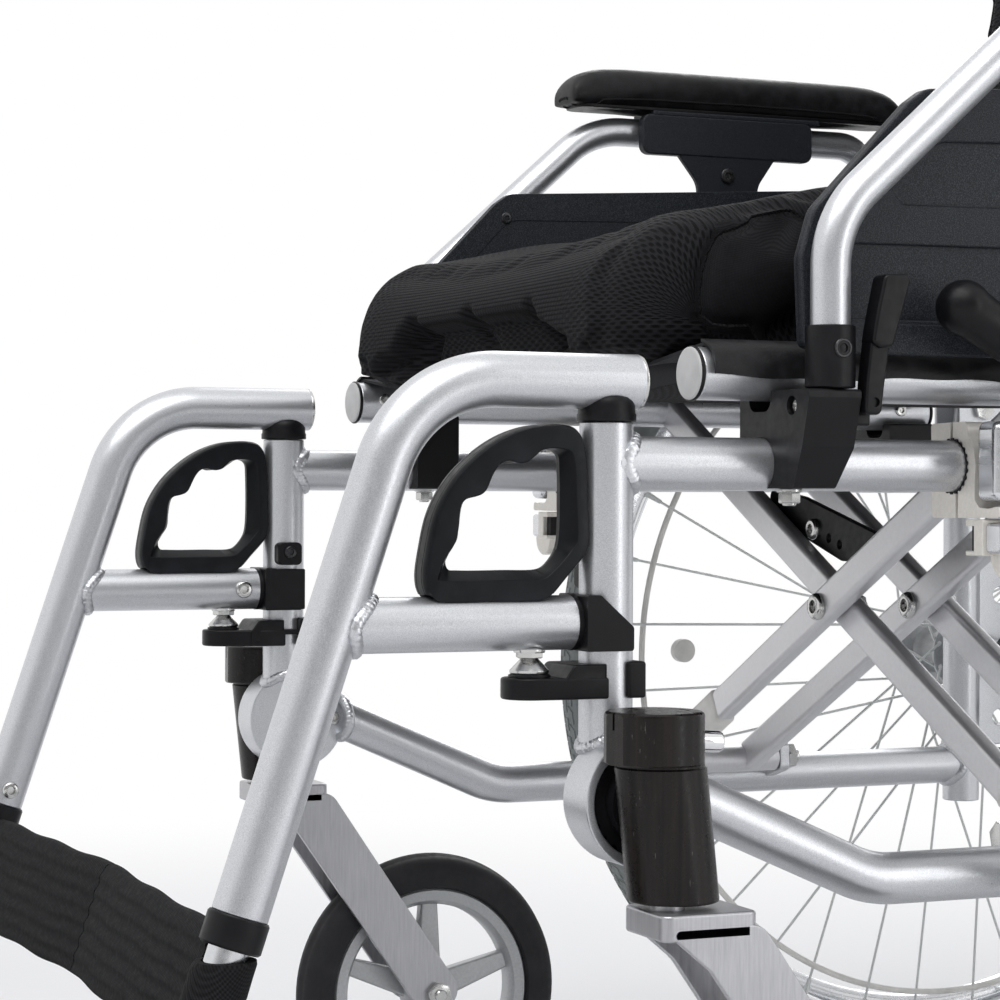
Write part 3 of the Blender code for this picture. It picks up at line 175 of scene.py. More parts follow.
class Graph:
    """A material's node tree with short calls for the nodes used here; lengths are in millimetres."""

    def __init__(self, name, base, rough, metal, **more):
        self.mat = bpy.data.materials.new(name)
        self.mat.use_nodes = True
        self.tree = self.mat.node_tree
        self.bsdf = self.tree.nodes["Principled BSDF"]
        values = {"base_color": (*base, 1.0), "roughness": rough, "metallic": metal, **more}
        for key, value in values.items():
            self.bsdf.inputs[key.replace("_", " ").title().replace("Ior", "IOR")].default_value = value
        self.coords = self.node("TexCoord", "Object")

    def node(self, kind, output=0, inputs=None, **settings):
        return shader_node(self.tree, kind, output, inputs, **settings)

    def stretched(self, scale=(1, 1, 1)):
        """Object coordinates in millimetres times a scale for each axis."""
        return self.node("Mapping", "Vector", {"Vector": self.coords, "Scale": [s / MM for s in scale]})

    def noise(self, per_mm, detail=2.0, scale=(1, 1, 1), rough=0.5):
        inputs = {"Vector": self.stretched(scale), "Scale": per_mm, "Detail": detail, "Roughness": rough}
        return self.node("TexNoise", "Fac", inputs)

    def cells(self, per_mm, output="Color"):
        return self.node("TexVoronoi", output, {"Vector": self.stretched(), "Scale": per_mm})

    def remap(self, value, low, high, to_low, to_high):
        inputs = {"Value": value, "From Min": low, "From Max": high, "To Min": to_low, "To Max": to_high}
        return self.node("MapRange", "Result", inputs)

    def math(self, kind, *values):
        return self.node("Math", "Value", dict(enumerate(values)), operation=kind)

    def times(self, a, b):
        return self.math("MULTIPLY", a, b)

    def plus(self, a, b):
        return self.math("ADD", a, b)

    def wave(self, length, period):
        """Sine that repeats after a period in millimetres."""
        return self.math("SINE", self.times(length, 2 * math.pi / period))

    def split(self, vector):
        return self.node("SeparateXYZ", None, {"Vector": vector}).values()

    def mix(self, fac, dark, light):
        """Colour between two, each a tuple or another node's output."""
        ends = [(*c, 1.0) if isinstance(c, tuple) else c for c in (dark, light)]
        return self.node("Mix", 2, {"Factor": fac, 6: ends[0], 7: ends[1]}, data_type="RGBA")

    def colour(self, value):
        self.tree.links.new(value, self.bsdf.inputs["Base Color"])

    def rough(self, value):
        self.tree.links.new(value, self.bsdf.inputs["Roughness"])

    def bump(self, height, strength, distance_mm, under=None):
        inputs = {"Height": height, "Strength": strength, "Distance": distance_mm * MM}
        if under is not None:
            inputs["Normal"] = under
        normal = self.node("Bump", "Normal", inputs)
        self.tree.links.new(normal, self.bsdf.inputs["Normal"])
        return normal

    def worn_and_highlit_edges(self, colour, light, amount):
        """Paler edges from the surface's own pointiness: partly rubbed wear, partly a painted highlight along
        the edges.
        """
        edge = self.remap(self.node("NewGeometry", "Pointiness"), 0.53, 0.5875, 0.0, amount)
        blotch = self.remap(self.noise(0.08, 3), 0.35, 0.65, 0.3, 1.0)
        return self.mix(self.times(edge, blotch), colour, light)


def silver_paint():
    """Satin silver enamel with a fine metallic grain."""
    g = Graph("frame_silver", (0.62, 0.63, 0.65), 0.42, 0.85, coat_weight=0.15, coat_roughness=0.25)
    grain = g.noise(2.4, 2.0, rough=0.75)
    flake = g.cells(1.8)
    cloud = g.noise(0.02, 2.0)
    tone = g.mix(g.remap(grain, 0.34, 0.66, 0.0, 1.0), (0.47, 0.48, 0.51), (0.72, 0.73, 0.75))
    g.colour(g.mix(g.remap(cloud, 0.4, 0.6, 0.0, 0.2), tone, (0.58, 0.59, 0.62)))
    g.rough(g.remap(flake, 0.0, 1.0, 0.27, 0.42))
    first = g.bump(grain, 0.30, 0.06)
    g.bump(flake, 0.16, 0.05, first)
    return g.mat


def plastic(name, base, light, rough, grain_mm=0.35, depth=0.03, strength=0.35, edge=0.25, shine=0.2):
    """Moulded plastic: fine spark-eroded grain, slight cloudiness, paler edges that are partly rubbed wear
    and partly painted highlight.
    """
    g = Graph(name, base, rough, 0.0, specular_ior_level=shine)
    cloud = g.remap(g.noise(0.05, 3), 0.35, 0.65, 0.0, 1.0)
    tone = g.mix(cloud, base, tuple(1.25 * c for c in base))
    g.colour(g.worn_and_highlit_edges(tone, light, edge))
    g.rough(g.remap(g.noise(0.25, 3), 0.3, 0.7, rough - 0.06, rough + 0.08))
    g.bump(g.noise(1.0 / grain_mm, 3.0, rough=0.6), strength, depth)
    return g.mat


def panel_plastic():
    """Side panel: coarse grain with paler specks painted into its colour as small highlights on the grain."""
    g = Graph("panel_black", (0.012, 0.014, 0.018), 0.50, 0.0, specular_ior_level=0.25)
    speck = g.cells(1.5, output="Distance")
    grain = g.noise(1.4, 3.0, rough=0.65)
    # Paler specks in the colour: painted highlights on the grain
    light = g.remap(g.noise(1.9, 2.0, rough=0.7), 0.46, 0.72, 0.0, 1.0)
    g.colour(g.mix(light, (0.005, 0.0065, 0.009), (0.052, 0.058, 0.072)))
    g.rough(g.remap(grain, 0.3, 0.7, 0.36, 0.62))
    first = g.bump(speck, 0.30, 0.12)
    g.bump(grain, 0.45, 0.14, first)
    return g.mat


def housing_finish():
    """Glossy brown-black enamel with faint drawn streaks and a few pale scratches."""
    g = Graph("housing_black", (0.008, 0.006, 0.0055), 0.3, 0.0, specular_ior_level=0.24)
    streak = g.noise(0.4, 3.0, scale=(1, 1, 0.02))
    base = g.mix(g.remap(streak, 0.35, 0.7, 0.0, 1.0), (0.005, 0.004, 0.0038), (0.014, 0.0105, 0.009))
    scratch = g.noise(0.9, 2.0, scale=(1, 1, 0.12), rough=0.8)
    g.colour(g.mix(g.remap(scratch, 0.70, 0.74, 0.0, 0.5), base, (0.20, 0.19, 0.18)))
    g.rough(g.remap(g.noise(0.3, 4.0), 0.3, 0.7, 0.24, 0.36))
    g.bump(streak, 0.05, 0.03)
    return g.mat


def metal(name, base, dark, rough, metallic, stretch=(1, 1, 1), per_mm=0.6, bump=0.1):
    """Bare or satin metal with brushed or cast variation."""
    g = Graph(name, base, rough, metallic)
    streak = g.noise(per_mm, 4.0, scale=stretch, rough=0.6)
    cloud = g.noise(0.03, 3.0)
    tone = g.mix(g.remap(streak, 0.3, 0.7, 0.0, 1.0), dark, base)
    g.colour(g.mix(g.remap(cloud, 0.35, 0.65, 0.0, 0.3), tone, dark))
    g.rough(g.remap(streak, 0.3, 0.7, rough - 0.07, rough + 0.09))
    g.bump(streak, bump, 0.05)
    return g.mat


def rubber(name, base, rough, grain_mm=0.8, dusty=0.35):
    """Rubber with a fine grain and dusty, paler patches."""
    g = Graph(name, base, rough, 0.0, specular_ior_level=0.2)
    dust = g.remap(g.noise(0.06, 4), 0.45, 0.75, 0.0, dusty)
    g.colour(g.mix(dust, base, tuple(min(1.0, 1.4 * c + 0.01) for c in base)))
    g.rough(g.remap(g.noise(0.3, 3), 0.3, 0.7, rough - 0.08, rough + 0.08))
    g.bump(g.noise(1.0 / grain_mm, 3.0), 0.2, 0.04)
    return g.mat


def spacer_mesh():
    """Knitted spacer mesh on the stored cloth coordinates: fine ribs, and open cells near the sides."""
    g = Graph("mesh_black", (0.010, 0.010, 0.011), 0.85, 0.0, specular_ior_level=0.12)
    across, along, coarse = g.split(g.node("Attribute", "Vector", attribute_name="cloth"))
    shaky = g.plus(across, g.times(g.math("SUBTRACT", g.noise(0.03, 2), 0.5), 1.6))
    row = g.wave(along, 4.3)
    shifted = g.plus(shaky, g.times(g.math("SIGN", row), 2.25))
    column = g.math("COSINE", g.times(shifted, 2 * math.pi / 9.0))
    cell = g.times(g.math("ABSOLUTE", row), g.plus(g.times(column, 0.5), 0.5))
    strand = g.remap(cell, 0.05, 0.75, 1.0, 0.0)
    rib_a = g.math("ABSOLUTE", g.wave(along, 5.2))
    rib_b = g.math("ABSOLUTE", g.wave(shaky, 6.8))
    rib = g.times(rib_a, g.plus(g.times(rib_b, 0.3), 0.7))
    height = g.node("Mix", 0, {"Factor": coarse, 2: rib, 3: strand}, data_type="FLOAT")
    yarn = g.noise(2.2)
    tone = g.remap(height, 0.15, 1.0, 0.0, 1.0)
    g.colour(g.mix(tone, (0.0025, 0.0025, 0.003), (0.0145, 0.0145, 0.017)))
    g.rough(g.remap(yarn, 0.3, 0.7, 0.7, 0.95))
    g.bump(height, 0.7, 0.8, g.bump(yarn, 0.25, 0.2))
    return g.mat


def woven(name, dark, light, pitch, diagonal=False, strength=0.6):
    """Plain weave seen as two crossed rows of threads, from the object's own coordinates."""
    g = Graph(name, light, 0.8, 0.0, specular_ior_level=0.12)
    x, y, z = g.split(g.stretched())
    threads = (y, g.plus(z, x))
    if diagonal:
        threads = (g.plus(g.plus(y, z), x), g.math("SUBTRACT", g.math("SUBTRACT", y, z), x))
    warp, weft = (g.wave(thread, pitch) for thread in threads)
    height = g.remap(g.times(warp, weft), -1, 1, 0, 1)
    slub = g.noise(0.35, 3.0)
    g.colour(g.mix(g.times(height, g.remap(slub, 0.3, 0.7, 0.6, 1.2)), dark, light))
    g.rough(g.remap(slub, 0.3, 0.7, 0.68, 0.9))
    g.bump(height, strength, 0.25)
    return g.mat


def vinyl():
    """Pebbled black covering with soft creases."""
    g = Graph("pad_black", (0.010, 0.010, 0.011), 0.46, 0.0, specular_ior_level=0.25)
    pebble = g.cells(0.75, output="Distance")
    crease = g.noise(0.12, 4.0)
    g.colour(g.mix(g.remap(crease, 0.4, 0.7, 0.0, 1.0), (0.007, 0.007, 0.008), (0.015, 0.015, 0.017)))
    g.rough(g.remap(crease, 0.3, 0.7, 0.38, 0.56))
    first = g.bump(crease, 0.2, 0.6)
    g.bump(pebble, 0.35, 0.2, first)
    return g.mat


# Materials by name: the values that metal(), plastic(), rubber() and woven() take, in their order
EVEN = (1, 1, 1)
METALS = {
    "bracket_alloy": ((0.84, 0.81, 0.76), (0.74, 0.71, 0.66), 0.42, 0.3, EVEN, 0.5, 0.12),
    "fork_grey": ((0.52, 0.52, 0.54), (0.40, 0.40, 0.42), 0.36, 0.85, (1, 1, 0.06), 0.8),
    "rim_steel": ((0.70, 0.71, 0.73), (0.64, 0.65, 0.67), 0.22, 0.95, (0.1, 1, 1), 0.2, 0.01),
    "spoke_grey": ((0.78, 0.80, 0.79), (0.70, 0.72, 0.71), 0.4, 0.2),
    "hub_grey": ((0.50, 0.51, 0.52), (0.40, 0.41, 0.42), 0.4, 0.6),
    "brace_grey": ((0.74, 0.74, 0.76), (0.66, 0.66, 0.68), 0.38, 0.7, (0.3, 1, 0.3), 1.2, 0.06),
    "zinc": ((0.62, 0.62, 0.61), (0.55, 0.55, 0.54), 0.2, 1.0, EVEN, 0.1, 0.01),
    "dark_steel": ((0.060, 0.060, 0.063), (0.03, 0.03, 0.033), 0.3, 0.7, EVEN, 0.5),
    "rod_chrome": ((0.80, 0.80, 0.81), (0.74, 0.74, 0.75), 0.08, 1.0, EVEN, 0.3, 0.02),
}
PLASTICS = {
    "plastic_black": ((0.0045, 0.0045, 0.0055), (0.03, 0.03, 0.033), 0.38),
    "handle_black": ((0.0035, 0.004, 0.005), (0.04, 0.045, 0.055), 0.36, 0.45, 0.04, 0.35, 0.45, 0.16),
    "cap_grey": ((0.50, 0.50, 0.50), (0.7, 0.7, 0.7), 0.45, 0.6, 0.03, 0.2, 0.1),
    "sleeve_white": ((0.70, 0.69, 0.66), (0.8, 0.8, 0.8), 0.35, 0.8, 0.03, 0.2, 0.1),
}
RUBBERS = {
    "tyre_grey": ((0.27, 0.29, 0.29), 0.7, 0.8, 0.15),
    "caster_grey": ((0.020, 0.020, 0.022), 0.62),
    "grip_black": ((0.010, 0.010, 0.011), 0.55, 0.5),
}
CLOTHS = {
    "side_cloth": ((0.003, 0.003, 0.0035), (0.022, 0.022, 0.025), 1.5, True),
    "strap_cloth": ((0.003, 0.003, 0.0035), (0.020, 0.020, 0.022), 2.2, False, 0.9),
    "sling_grey": ((0.022, 0.022, 0.025), (0.052, 0.052, 0.057), 1.3, True, 0.4),
}


def make_materials():
    for maker, table in ((metal, METALS), (plastic, PLASTICS), (rubber, RUBBERS), (woven, CLOTHS)):
        for name, values in table.items():
            MATS[name] = maker(name, *values)
    MATS.update(frame_silver=silver_paint(), panel_black=panel_plastic(), housing_black=housing_finish(),
                mesh_black=spacer_mesh(), pad_black=vinyl())


# Mesh helpers, all in working millimetres

def from_bmesh(bm):
    """Mesh from a bmesh, which is freed."""
    mesh = bpy.data.meshes.new("shape")
    bm.to_mesh(mesh)
    bm.free()
    return mesh


def linked(data):
    """Object for a mesh, curve, lamp or camera, in the scene."""
    ob = bpy.data.objects.new("shape", data)
    bpy.context.scene.collection.objects.link(ob)
    return ob


def evaluated(ob, weld=0.0):
    """Mesh of an object with its modifiers and place applied; the object goes away."""
    graph = bpy.context.evaluated_depsgraph_get()
    graph.update()
    mesh = bpy.data.meshes.new_from_object(ob.evaluated_get(graph))
    mesh.transform(ob.matrix_world)
    bpy.data.objects.remove(ob, do_unlink=True)
    if weld:
        bm = bmesh.new()
        bm.from_mesh(mesh)
        bmesh.ops.remove_doubles(bm, verts=bm.verts, dist=weld)
        bm.to_mesh(mesh)
        bm.free()
    return mesh


def merged(meshes):
    """One mesh from several."""
    meshes = flat(meshes)
    bm = bmesh.new()
    for mesh in meshes:
        bm.from_mesh(mesh)
    return from_bmesh(bm)


def flat(items):
    """One list from lists in lists."""
    if not isinstance(items, (list, tuple)):
        return [items]
    out = []
    for item in items:
        out += flat(item)
    return out


def flipped(mesh):
    """Mirror image on the other side of the chair."""
    other = mesh.copy()
    other.transform(Matrix.Diagonal((-1, 1, 1, 1)))
    other.flip_normals()
    return other


def bend(points, radii, steps):
    """Polyline with each inner corner replaced by an arc."""
    pts = [Vector(p) for p in points]
    out = [pts[0]]
    for i in range(1, len(pts) - 1):
        a = (pts[i - 1] - pts[i]).normalized()
        b = (pts[i + 1] - pts[i]).normalized()
        radius = radii[i - 1] if isinstance(radii, (list, tuple)) else radii
        half = a.angle(b) / 2
        start = pts[i] + a * (radius / math.tan(half))
        end = pts[i] + b * (radius / math.tan(half))
        centre = pts[i] + (a + b).normalized() * (radius / math.sin(half))
        u = start - centre
        v = end - centre
        turn = u.angle(v)
        for k in range(steps + 1):
            t = k / steps
            out.append(centre + (math.sin((1 - t) * turn) * u + math.sin(t * turn) * v) / math.sin(turn))
    out.append(pts[-1])
    return out


def tube(points, radius, sides=36, soft=0.9):
    """Round tube along a polyline, its two ends broken by a small round edge."""
    pts = [Vector(p) for p in points]
    radii = [1.0] * len(pts)
    for end in (0, -1):
        inward = (pts[1] - pts[0] if end == 0 else pts[-2] - pts[-1]).normalized()
        turns = (0.0, 0.5, 1.0, math.pi / 2)
        extra = [(pts[end] + inward * soft * (1 - math.cos(a)),
                  1 - soft / radius * (1 - math.sin(a))) for a in turns]
        if end == 0:
            pts = [e[0] for e in extra] + pts[1:]
            radii = [e[1] for e in extra] + radii[1:]
        else:
            pts = pts[:-1] + [e[0] for e in reversed(extra)]
            radii = radii[:-1] + [e[1] for e in reversed(extra)]
    curve = bpy.data.curves.new("tube", "CURVE")
    curve.dimensions = "3D"
    line = curve.splines.new("POLY")
    line.points.add(len(pts) - 1)
    for p, q, r in zip(line.points, pts, radii):
        p.co = (q[0], q[1], q[2], 1.0)
        p.radius = r
    curve.bevel_depth = radius
    curve.bevel_resolution = (sides - 4) // 2
    curve.use_fill_caps = True
    return evaluated(linked(curve), 0.0005)


def plate(outlines, axis, low, high, bevel):
    """Flat piece with rounded edges from closed outlines, extruded along an axis from low to high.
    Outline pairs are (y, z) for axis X, (x, z) for axis Y and (x, y) for axis Z."""
    curve = bpy.data.curves.new("plate", "CURVE")
    curve.dimensions = "2D"
    curve.fill_mode = "BOTH"
    for outline in outlines:
        line = curve.splines.new("POLY")
        line.points.add(len(outline) - 1)
        for p, q in zip(line.points, outline):
            p.co = (q[0], q[1], 0.0, 1.0)
        line.use_cyclic_u = True
    curve.extrude = (high - low) / 2 - bevel
    curve.bevel_depth = bevel
    curve.offset = -bevel
    curve.bevel_resolution = 2
    ob = linked(curve)
    mid = (low + high) / 2
    turns = {
        "X": Matrix(((0, 0, 1, mid), (1, 0, 0, 0), (0, 1, 0, 0), (0, 0, 0, 1))),
        "Y": Matrix(((1, 0, 0, 0), (0, 0, -1, mid), (0, 1, 0, 0), (0, 0, 0, 1))),
        "Z": Matrix.Translation((0, 0, mid)),
    }
    ob.matrix_world = turns[axis]
    bpy.context.view_layer.update()
    return evaluated(ob, 0.0005)


def rounded(points, radius, steps=6):
    """Closed outline with rounded corners."""
    pts = [Vector((p[0], p[1], 0)) for p in points]
    out = []
    for i, p in enumerate(pts):
        a = pts[i - 1] - p
        b = pts[(i + 1) % len(pts)] - p
        r = radius[i] if isinstance(radius, (list, tuple)) else radius
        if r <= 0:
            out.append((p.x, p.y))
            continue
        half = a.angle(b) / 2
        run = min(r / math.tan(half), 0.49 * min(a.length, b.length))
        r = run * math.tan(half)
        a.normalize()
        b.normalize()
        centre = p + (a + b).normalized() * (r / math.sin(half))
        u = p + a * run - centre
        v = p + b * run - centre
        turn = u.angle(v)
        for k in range(steps + 1):
            t = k / steps
            w = (math.sin((1 - t) * turn) * u + math.sin(t * turn) * v) / math.sin(turn)
            out.append((centre.x + w.x, centre.y + w.y))
    return out


def toothed(cx, cy, r, other_r, count, others):
    """Closed round outline of count points, of which the others in each four lie on another radius."""
    radii = [other_r if k % 4 in others else r for k in range(count)]
    turns = [2 * math.pi * k / count for k in range(count)]
    return [(cx + d * math.cos(a), cy + d * math.sin(a)) for d, a in zip(radii, turns)]


def circle(cx, cy, r, count=24):
    """Closed round outline."""
    return toothed(cx, cy, r, r, count, ())


def lathe(profile, start, direction, sides):
    """(radius, distance) pairs turned about the line from start along direction, its ends closed."""
    axis = Vector(direction).normalized()
    u = axis.orthogonal().normalized()
    v = axis.cross(u)
    origin = Vector(start)
    bm = bmesh.new()
    rings = []
    for r, t in profile:
        centre = origin + axis * t
        if r < 1e-6:
            rings.append([bm.verts.new(centre)])
            continue
        angles = [2 * math.pi * k / sides for k in range(sides)]
        rings.append([bm.verts.new(centre + (u * math.cos(a) + v * math.sin(a)) * r) for a in angles])
    for a, b in zip(rings, rings[1:]):
        for k in range(sides):
            j = (k + 1) % sides
            if len(a) == 1 and len(b) > 1:
                bm.faces.new((a[0], b[k], b[j]))
            elif len(b) == 1 and len(a) > 1:
                bm.faces.new((a[k], b[0], a[j]))
            elif len(a) > 1:
                bm.faces.new((a[k], b[k], b[j], a[j]))
    for ring, first in ((rings[0], True), (rings[-1], False)):
        if len(ring) > 1 and profile[0] != profile[-1]:
            bm.faces.new(ring if first else list(reversed(ring)))
    bmesh.ops.remove_doubles(bm, verts=bm.verts, dist=0.0005)
    bmesh.ops.recalc_face_normals(bm, faces=bm.faces)
    return from_bmesh(bm)


def across(run):
    """The other half of a symmetrical section, in reverse order."""
    return [(r, -t) for r, t in reversed(run)]


def hoop(r, t, high, wide, count):
    """Round or oval section for lathe(), its middle at (r, t)."""
    turns = [2 * math.pi * (k % count) / count for k in range(count + 1)]
    return [(r + high * math.cos(a), t + wide * math.sin(a)) for a in turns]


def rod(p0, p1, r0, r1=None, sides=32, soft=0.5):
    """Round bar or cone between two points, with broken edges."""
    r1 = r0 if r1 is None else r1
    run = Vector(p1) - Vector(p0)
    n = run.length
    profile = [(0, 0), (r0 - soft, 0), (r0 - soft * 0.3, soft * 0.3), (r0, soft), (r1, n - soft),
               (r1 - soft * 0.3, n - soft * 0.3), (r1 - soft, n), (0, n)]
    return lathe(profile, p0, run, sides)


def sleeve(start, direction, radius, length, soft, bore=0.0, sides=40):
    """Disc or, with a bore, a short tube, its two outer edges chamfered."""
    profile = [(bore, 0), (radius - soft, 0), (radius, soft), (radius, length - soft),
               (radius - soft, length), (bore, length)]
    return lathe(profile + ([profile[0]] if bore else []), start, direction, sides)


def box(x0, x1, y0, y1, z0, z1, bevel=1.0, segments=3):
    """Block between two corners with rounded edges."""
    bm = bmesh.new()
    bmesh.ops.create_cube(bm, size=1.0)
    for v in bm.verts:
        v.co.x = (x0 + x1) / 2 + v.co.x * (x1 - x0)
        v.co.y = (y0 + y1) / 2 + v.co.y * (y1 - y0)
        v.co.z = (z0 + z1) / 2 + v.co.z * (z1 - z0)
    if bevel > 0:
        bmesh.ops.bevel(bm, geom=list(bm.edges), offset=bevel, segments=segments, affect="EDGES", profile=0.5)
    return from_bmesh(bm)


def ball(centre, radius, sides):
    """Round ball with as many faces round it as sides."""
    bm = bmesh.new()
    bmesh.ops.create_uvsphere(bm, u_segments=sides, v_segments=sides // 2, radius=radius)
    for v in bm.verts:
        v.co += centre
    return from_bmesh(bm)


def cut(base, cutters, bevel=0.0):
    """Exact difference, then an optional small round on the sharp edges."""
    ob = linked(base)
    tools = [linked(mesh) for mesh in cutters]
    for tool in tools:
        mod = ob.modifiers.new("cut", "BOOLEAN")
        mod.operation = "DIFFERENCE"
        mod.solver = "EXACT"
        mod.object = tool
    if bevel:
        mod = ob.modifiers.new("round", "BEVEL")
        mod.width = bevel
        mod.segments = 2
        mod.limit_method = "ANGLE"
        mod.angle_limit = math.radians(35)
        mod.use_clamp_overlap = True
    bpy.context.view_layer.update()
    mesh = evaluated(ob, 0.002)
    for tool in tools:
        bpy.data.objects.remove(tool, do_unlink=True)
    return mesh


def joint_curve(centre, axis, radius, post_at, post_axis, post_radius):
    """Where the surface of a round tube meets the surface of a round post, as points round the tube."""
    a = Vector(axis).normalized()
    p = Vector(post_axis).normalized()
    u = a.orthogonal().normalized()
    v = a.cross(u)
    points = []
    for k in range(60):
        t = 2 * math.pi * k / 60
        start = Vector(centre) + (u * math.cos(t) + v * math.sin(t)) * radius
        d = start - Vector(post_at)
        d -= p * d.dot(p)
        e = a - p * a.dot(p)
        qa = e.dot(e)
        qb = 2 * d.dot(e)
        qc = d.dot(d) - post_radius ** 2
        root = math.sqrt(max(0.0, qb * qb - 4 * qa * qc))
        points.append(start + a * ((-qb + root) / (2 * qa)))
    return points


def stepped(points, step):
    """Points spaced evenly along a polyline."""
    pts = [Vector(p) for p in points]
    out = []
    for a, b in zip(pts, pts[1:]):
        n = max(1, round((b - a).length / step))
        out += [a.lerp(b, k / n) for k in range(n)]
    return out + [pts[-1]]


def bead(points, width=3.7, pitch=2.3):
    """Weld bead: a low round strip along a closed line, laid in curved overlapping ripples."""
    fine = stepped(list(points) + [points[0]], pitch / 7)[:-1]
    sides = 12
    bm = bmesh.new()
    rings = []
    run = 0.0
    for i, p in enumerate(fine):
        before = fine[i - 1]
        run += (p - before).length if i else 0.0
        along = (fine[(i + 1) % len(fine)] - before).normalized()
        side = along.orthogonal().normalized()
        up = along.cross(side)
        drift = 0.02 * math.sin(run * 0.45)
        ring = []
        for k in range(sides):
            c = 2 * math.pi * k / sides
            phase = (run / pitch + 0.4 * math.cos(c)) % 1.0
            fall = 1.0 if phase < 0.86 else (1.0 - phase) / 0.14
            r = width * (0.88 + 0.14 * phase ** 0.6 * fall + drift)
            ring.append(bm.verts.new(p + (side * math.cos(c) + up * math.sin(c)) * r))
        rings.append(ring)
    for a, b in zip(rings, rings[1:] + rings[:1]):
        shift = min(range(sides), key=lambda s: (a[0].co - b[s].co).length)
        for k in range(sides):
            bm.faces.new((a[k], a[(k + 1) % sides], b[(k + 1 + shift) % sides], b[(k + shift) % sides]))
    bmesh.ops.recalc_face_normals(bm, faces=bm.faces)
    return from_bmesh(bm)


def hex_nut(start, direction, r, height, bolt=None):
    """Chamfered hexagon with, where asked, the bolt's end standing out of it."""
    soft = 0.12 * height
    body = lathe([(0, 0), (r * 0.9, 0), (r, soft), (r, height - soft), (r * 0.88, height), (0, height)],
                 start, direction, 6)
    if not bolt:
        return body
    end = lathe([(0, height - 1), (bolt[0], height - 1), (bolt[0], height + bolt[1] - 0.6),
                 (bolt[0] - 0.6, height + bolt[1]), (0, height + bolt[1])], start, direction, 16)
    return merged([body, end])


def socket_screw(start, direction, r, height, dome=0.35):
    """Round head with a hexagon recess, start being its seat and direction the way it faces."""
    n = height
    profile = [(0, 0), (r, 0), (r, n * (1 - dome)), (r * 0.93, n * (1 - dome * 0.45)), (r * 0.78, n * 0.98),
               (r * 0.5, n)]
    return lathe(profile + [(r * 0.47, n - 0.3), (r * 0.44, n * 0.25), (0, n * 0.2)], start, direction, 24)


def place(mesh):
    """Moves a mesh from working millimetres to metres in the frame's own place."""
    mesh.transform(Matrix.Scale(MM, 4) @ Matrix.Translation((0, -Y_MID, 0)))
    return mesh


def piece(name, meshes, body, mat, nodes=(), angle=38):
    """Object in the frame's own place, riding on its body."""
    mesh = place(merged(meshes))
    mesh.materials.clear()
    mesh.materials.append(MATS[mat])
    mesh.shade_smooth()
    mesh.set_sharp_from_angle(angle=math.radians(angle))
    ob = linked(mesh)
    ob.name = name
    mesh.name = name
    if body:
        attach(ob, body)
    if body and angle < 60:
        even_out = ob.modifiers.new("even_shading", "WEIGHTED_NORMAL")
        even_out.keep_sharp = True
    if nodes:
        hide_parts(*nodes)
    return ob


def pair(name, meshes, body, mat, node=None, angle=38):
    """The left piece and its mirror image; body and node are named without their side."""
    whole = merged(meshes)
    out = []
    for side, mesh in (("left", whole), ("right", flipped(whole))):
        nodes = [node + "_" + side] if node else []
        out.append(piece(name + "_" + side, mesh, side + "_" + body, mat, nodes, angle))
    return out


# The frame and what is fixed to it

def hanger_y(z):
    """Fore and aft place of the hanger's sloping leg at a height."""
    return KNEE_Y - SLOPE * (HANGER_Z - z)


def cane_point(s, across=0.0):
    """Point s up the cane and across to its rear, as (y, z)."""
    y = HINGE_Y + s * math.sin(LEAN) + across * math.cos(LEAN)
    return y, HINGE_Z + s * math.cos(LEAN) - across * math.sin(LEAN)


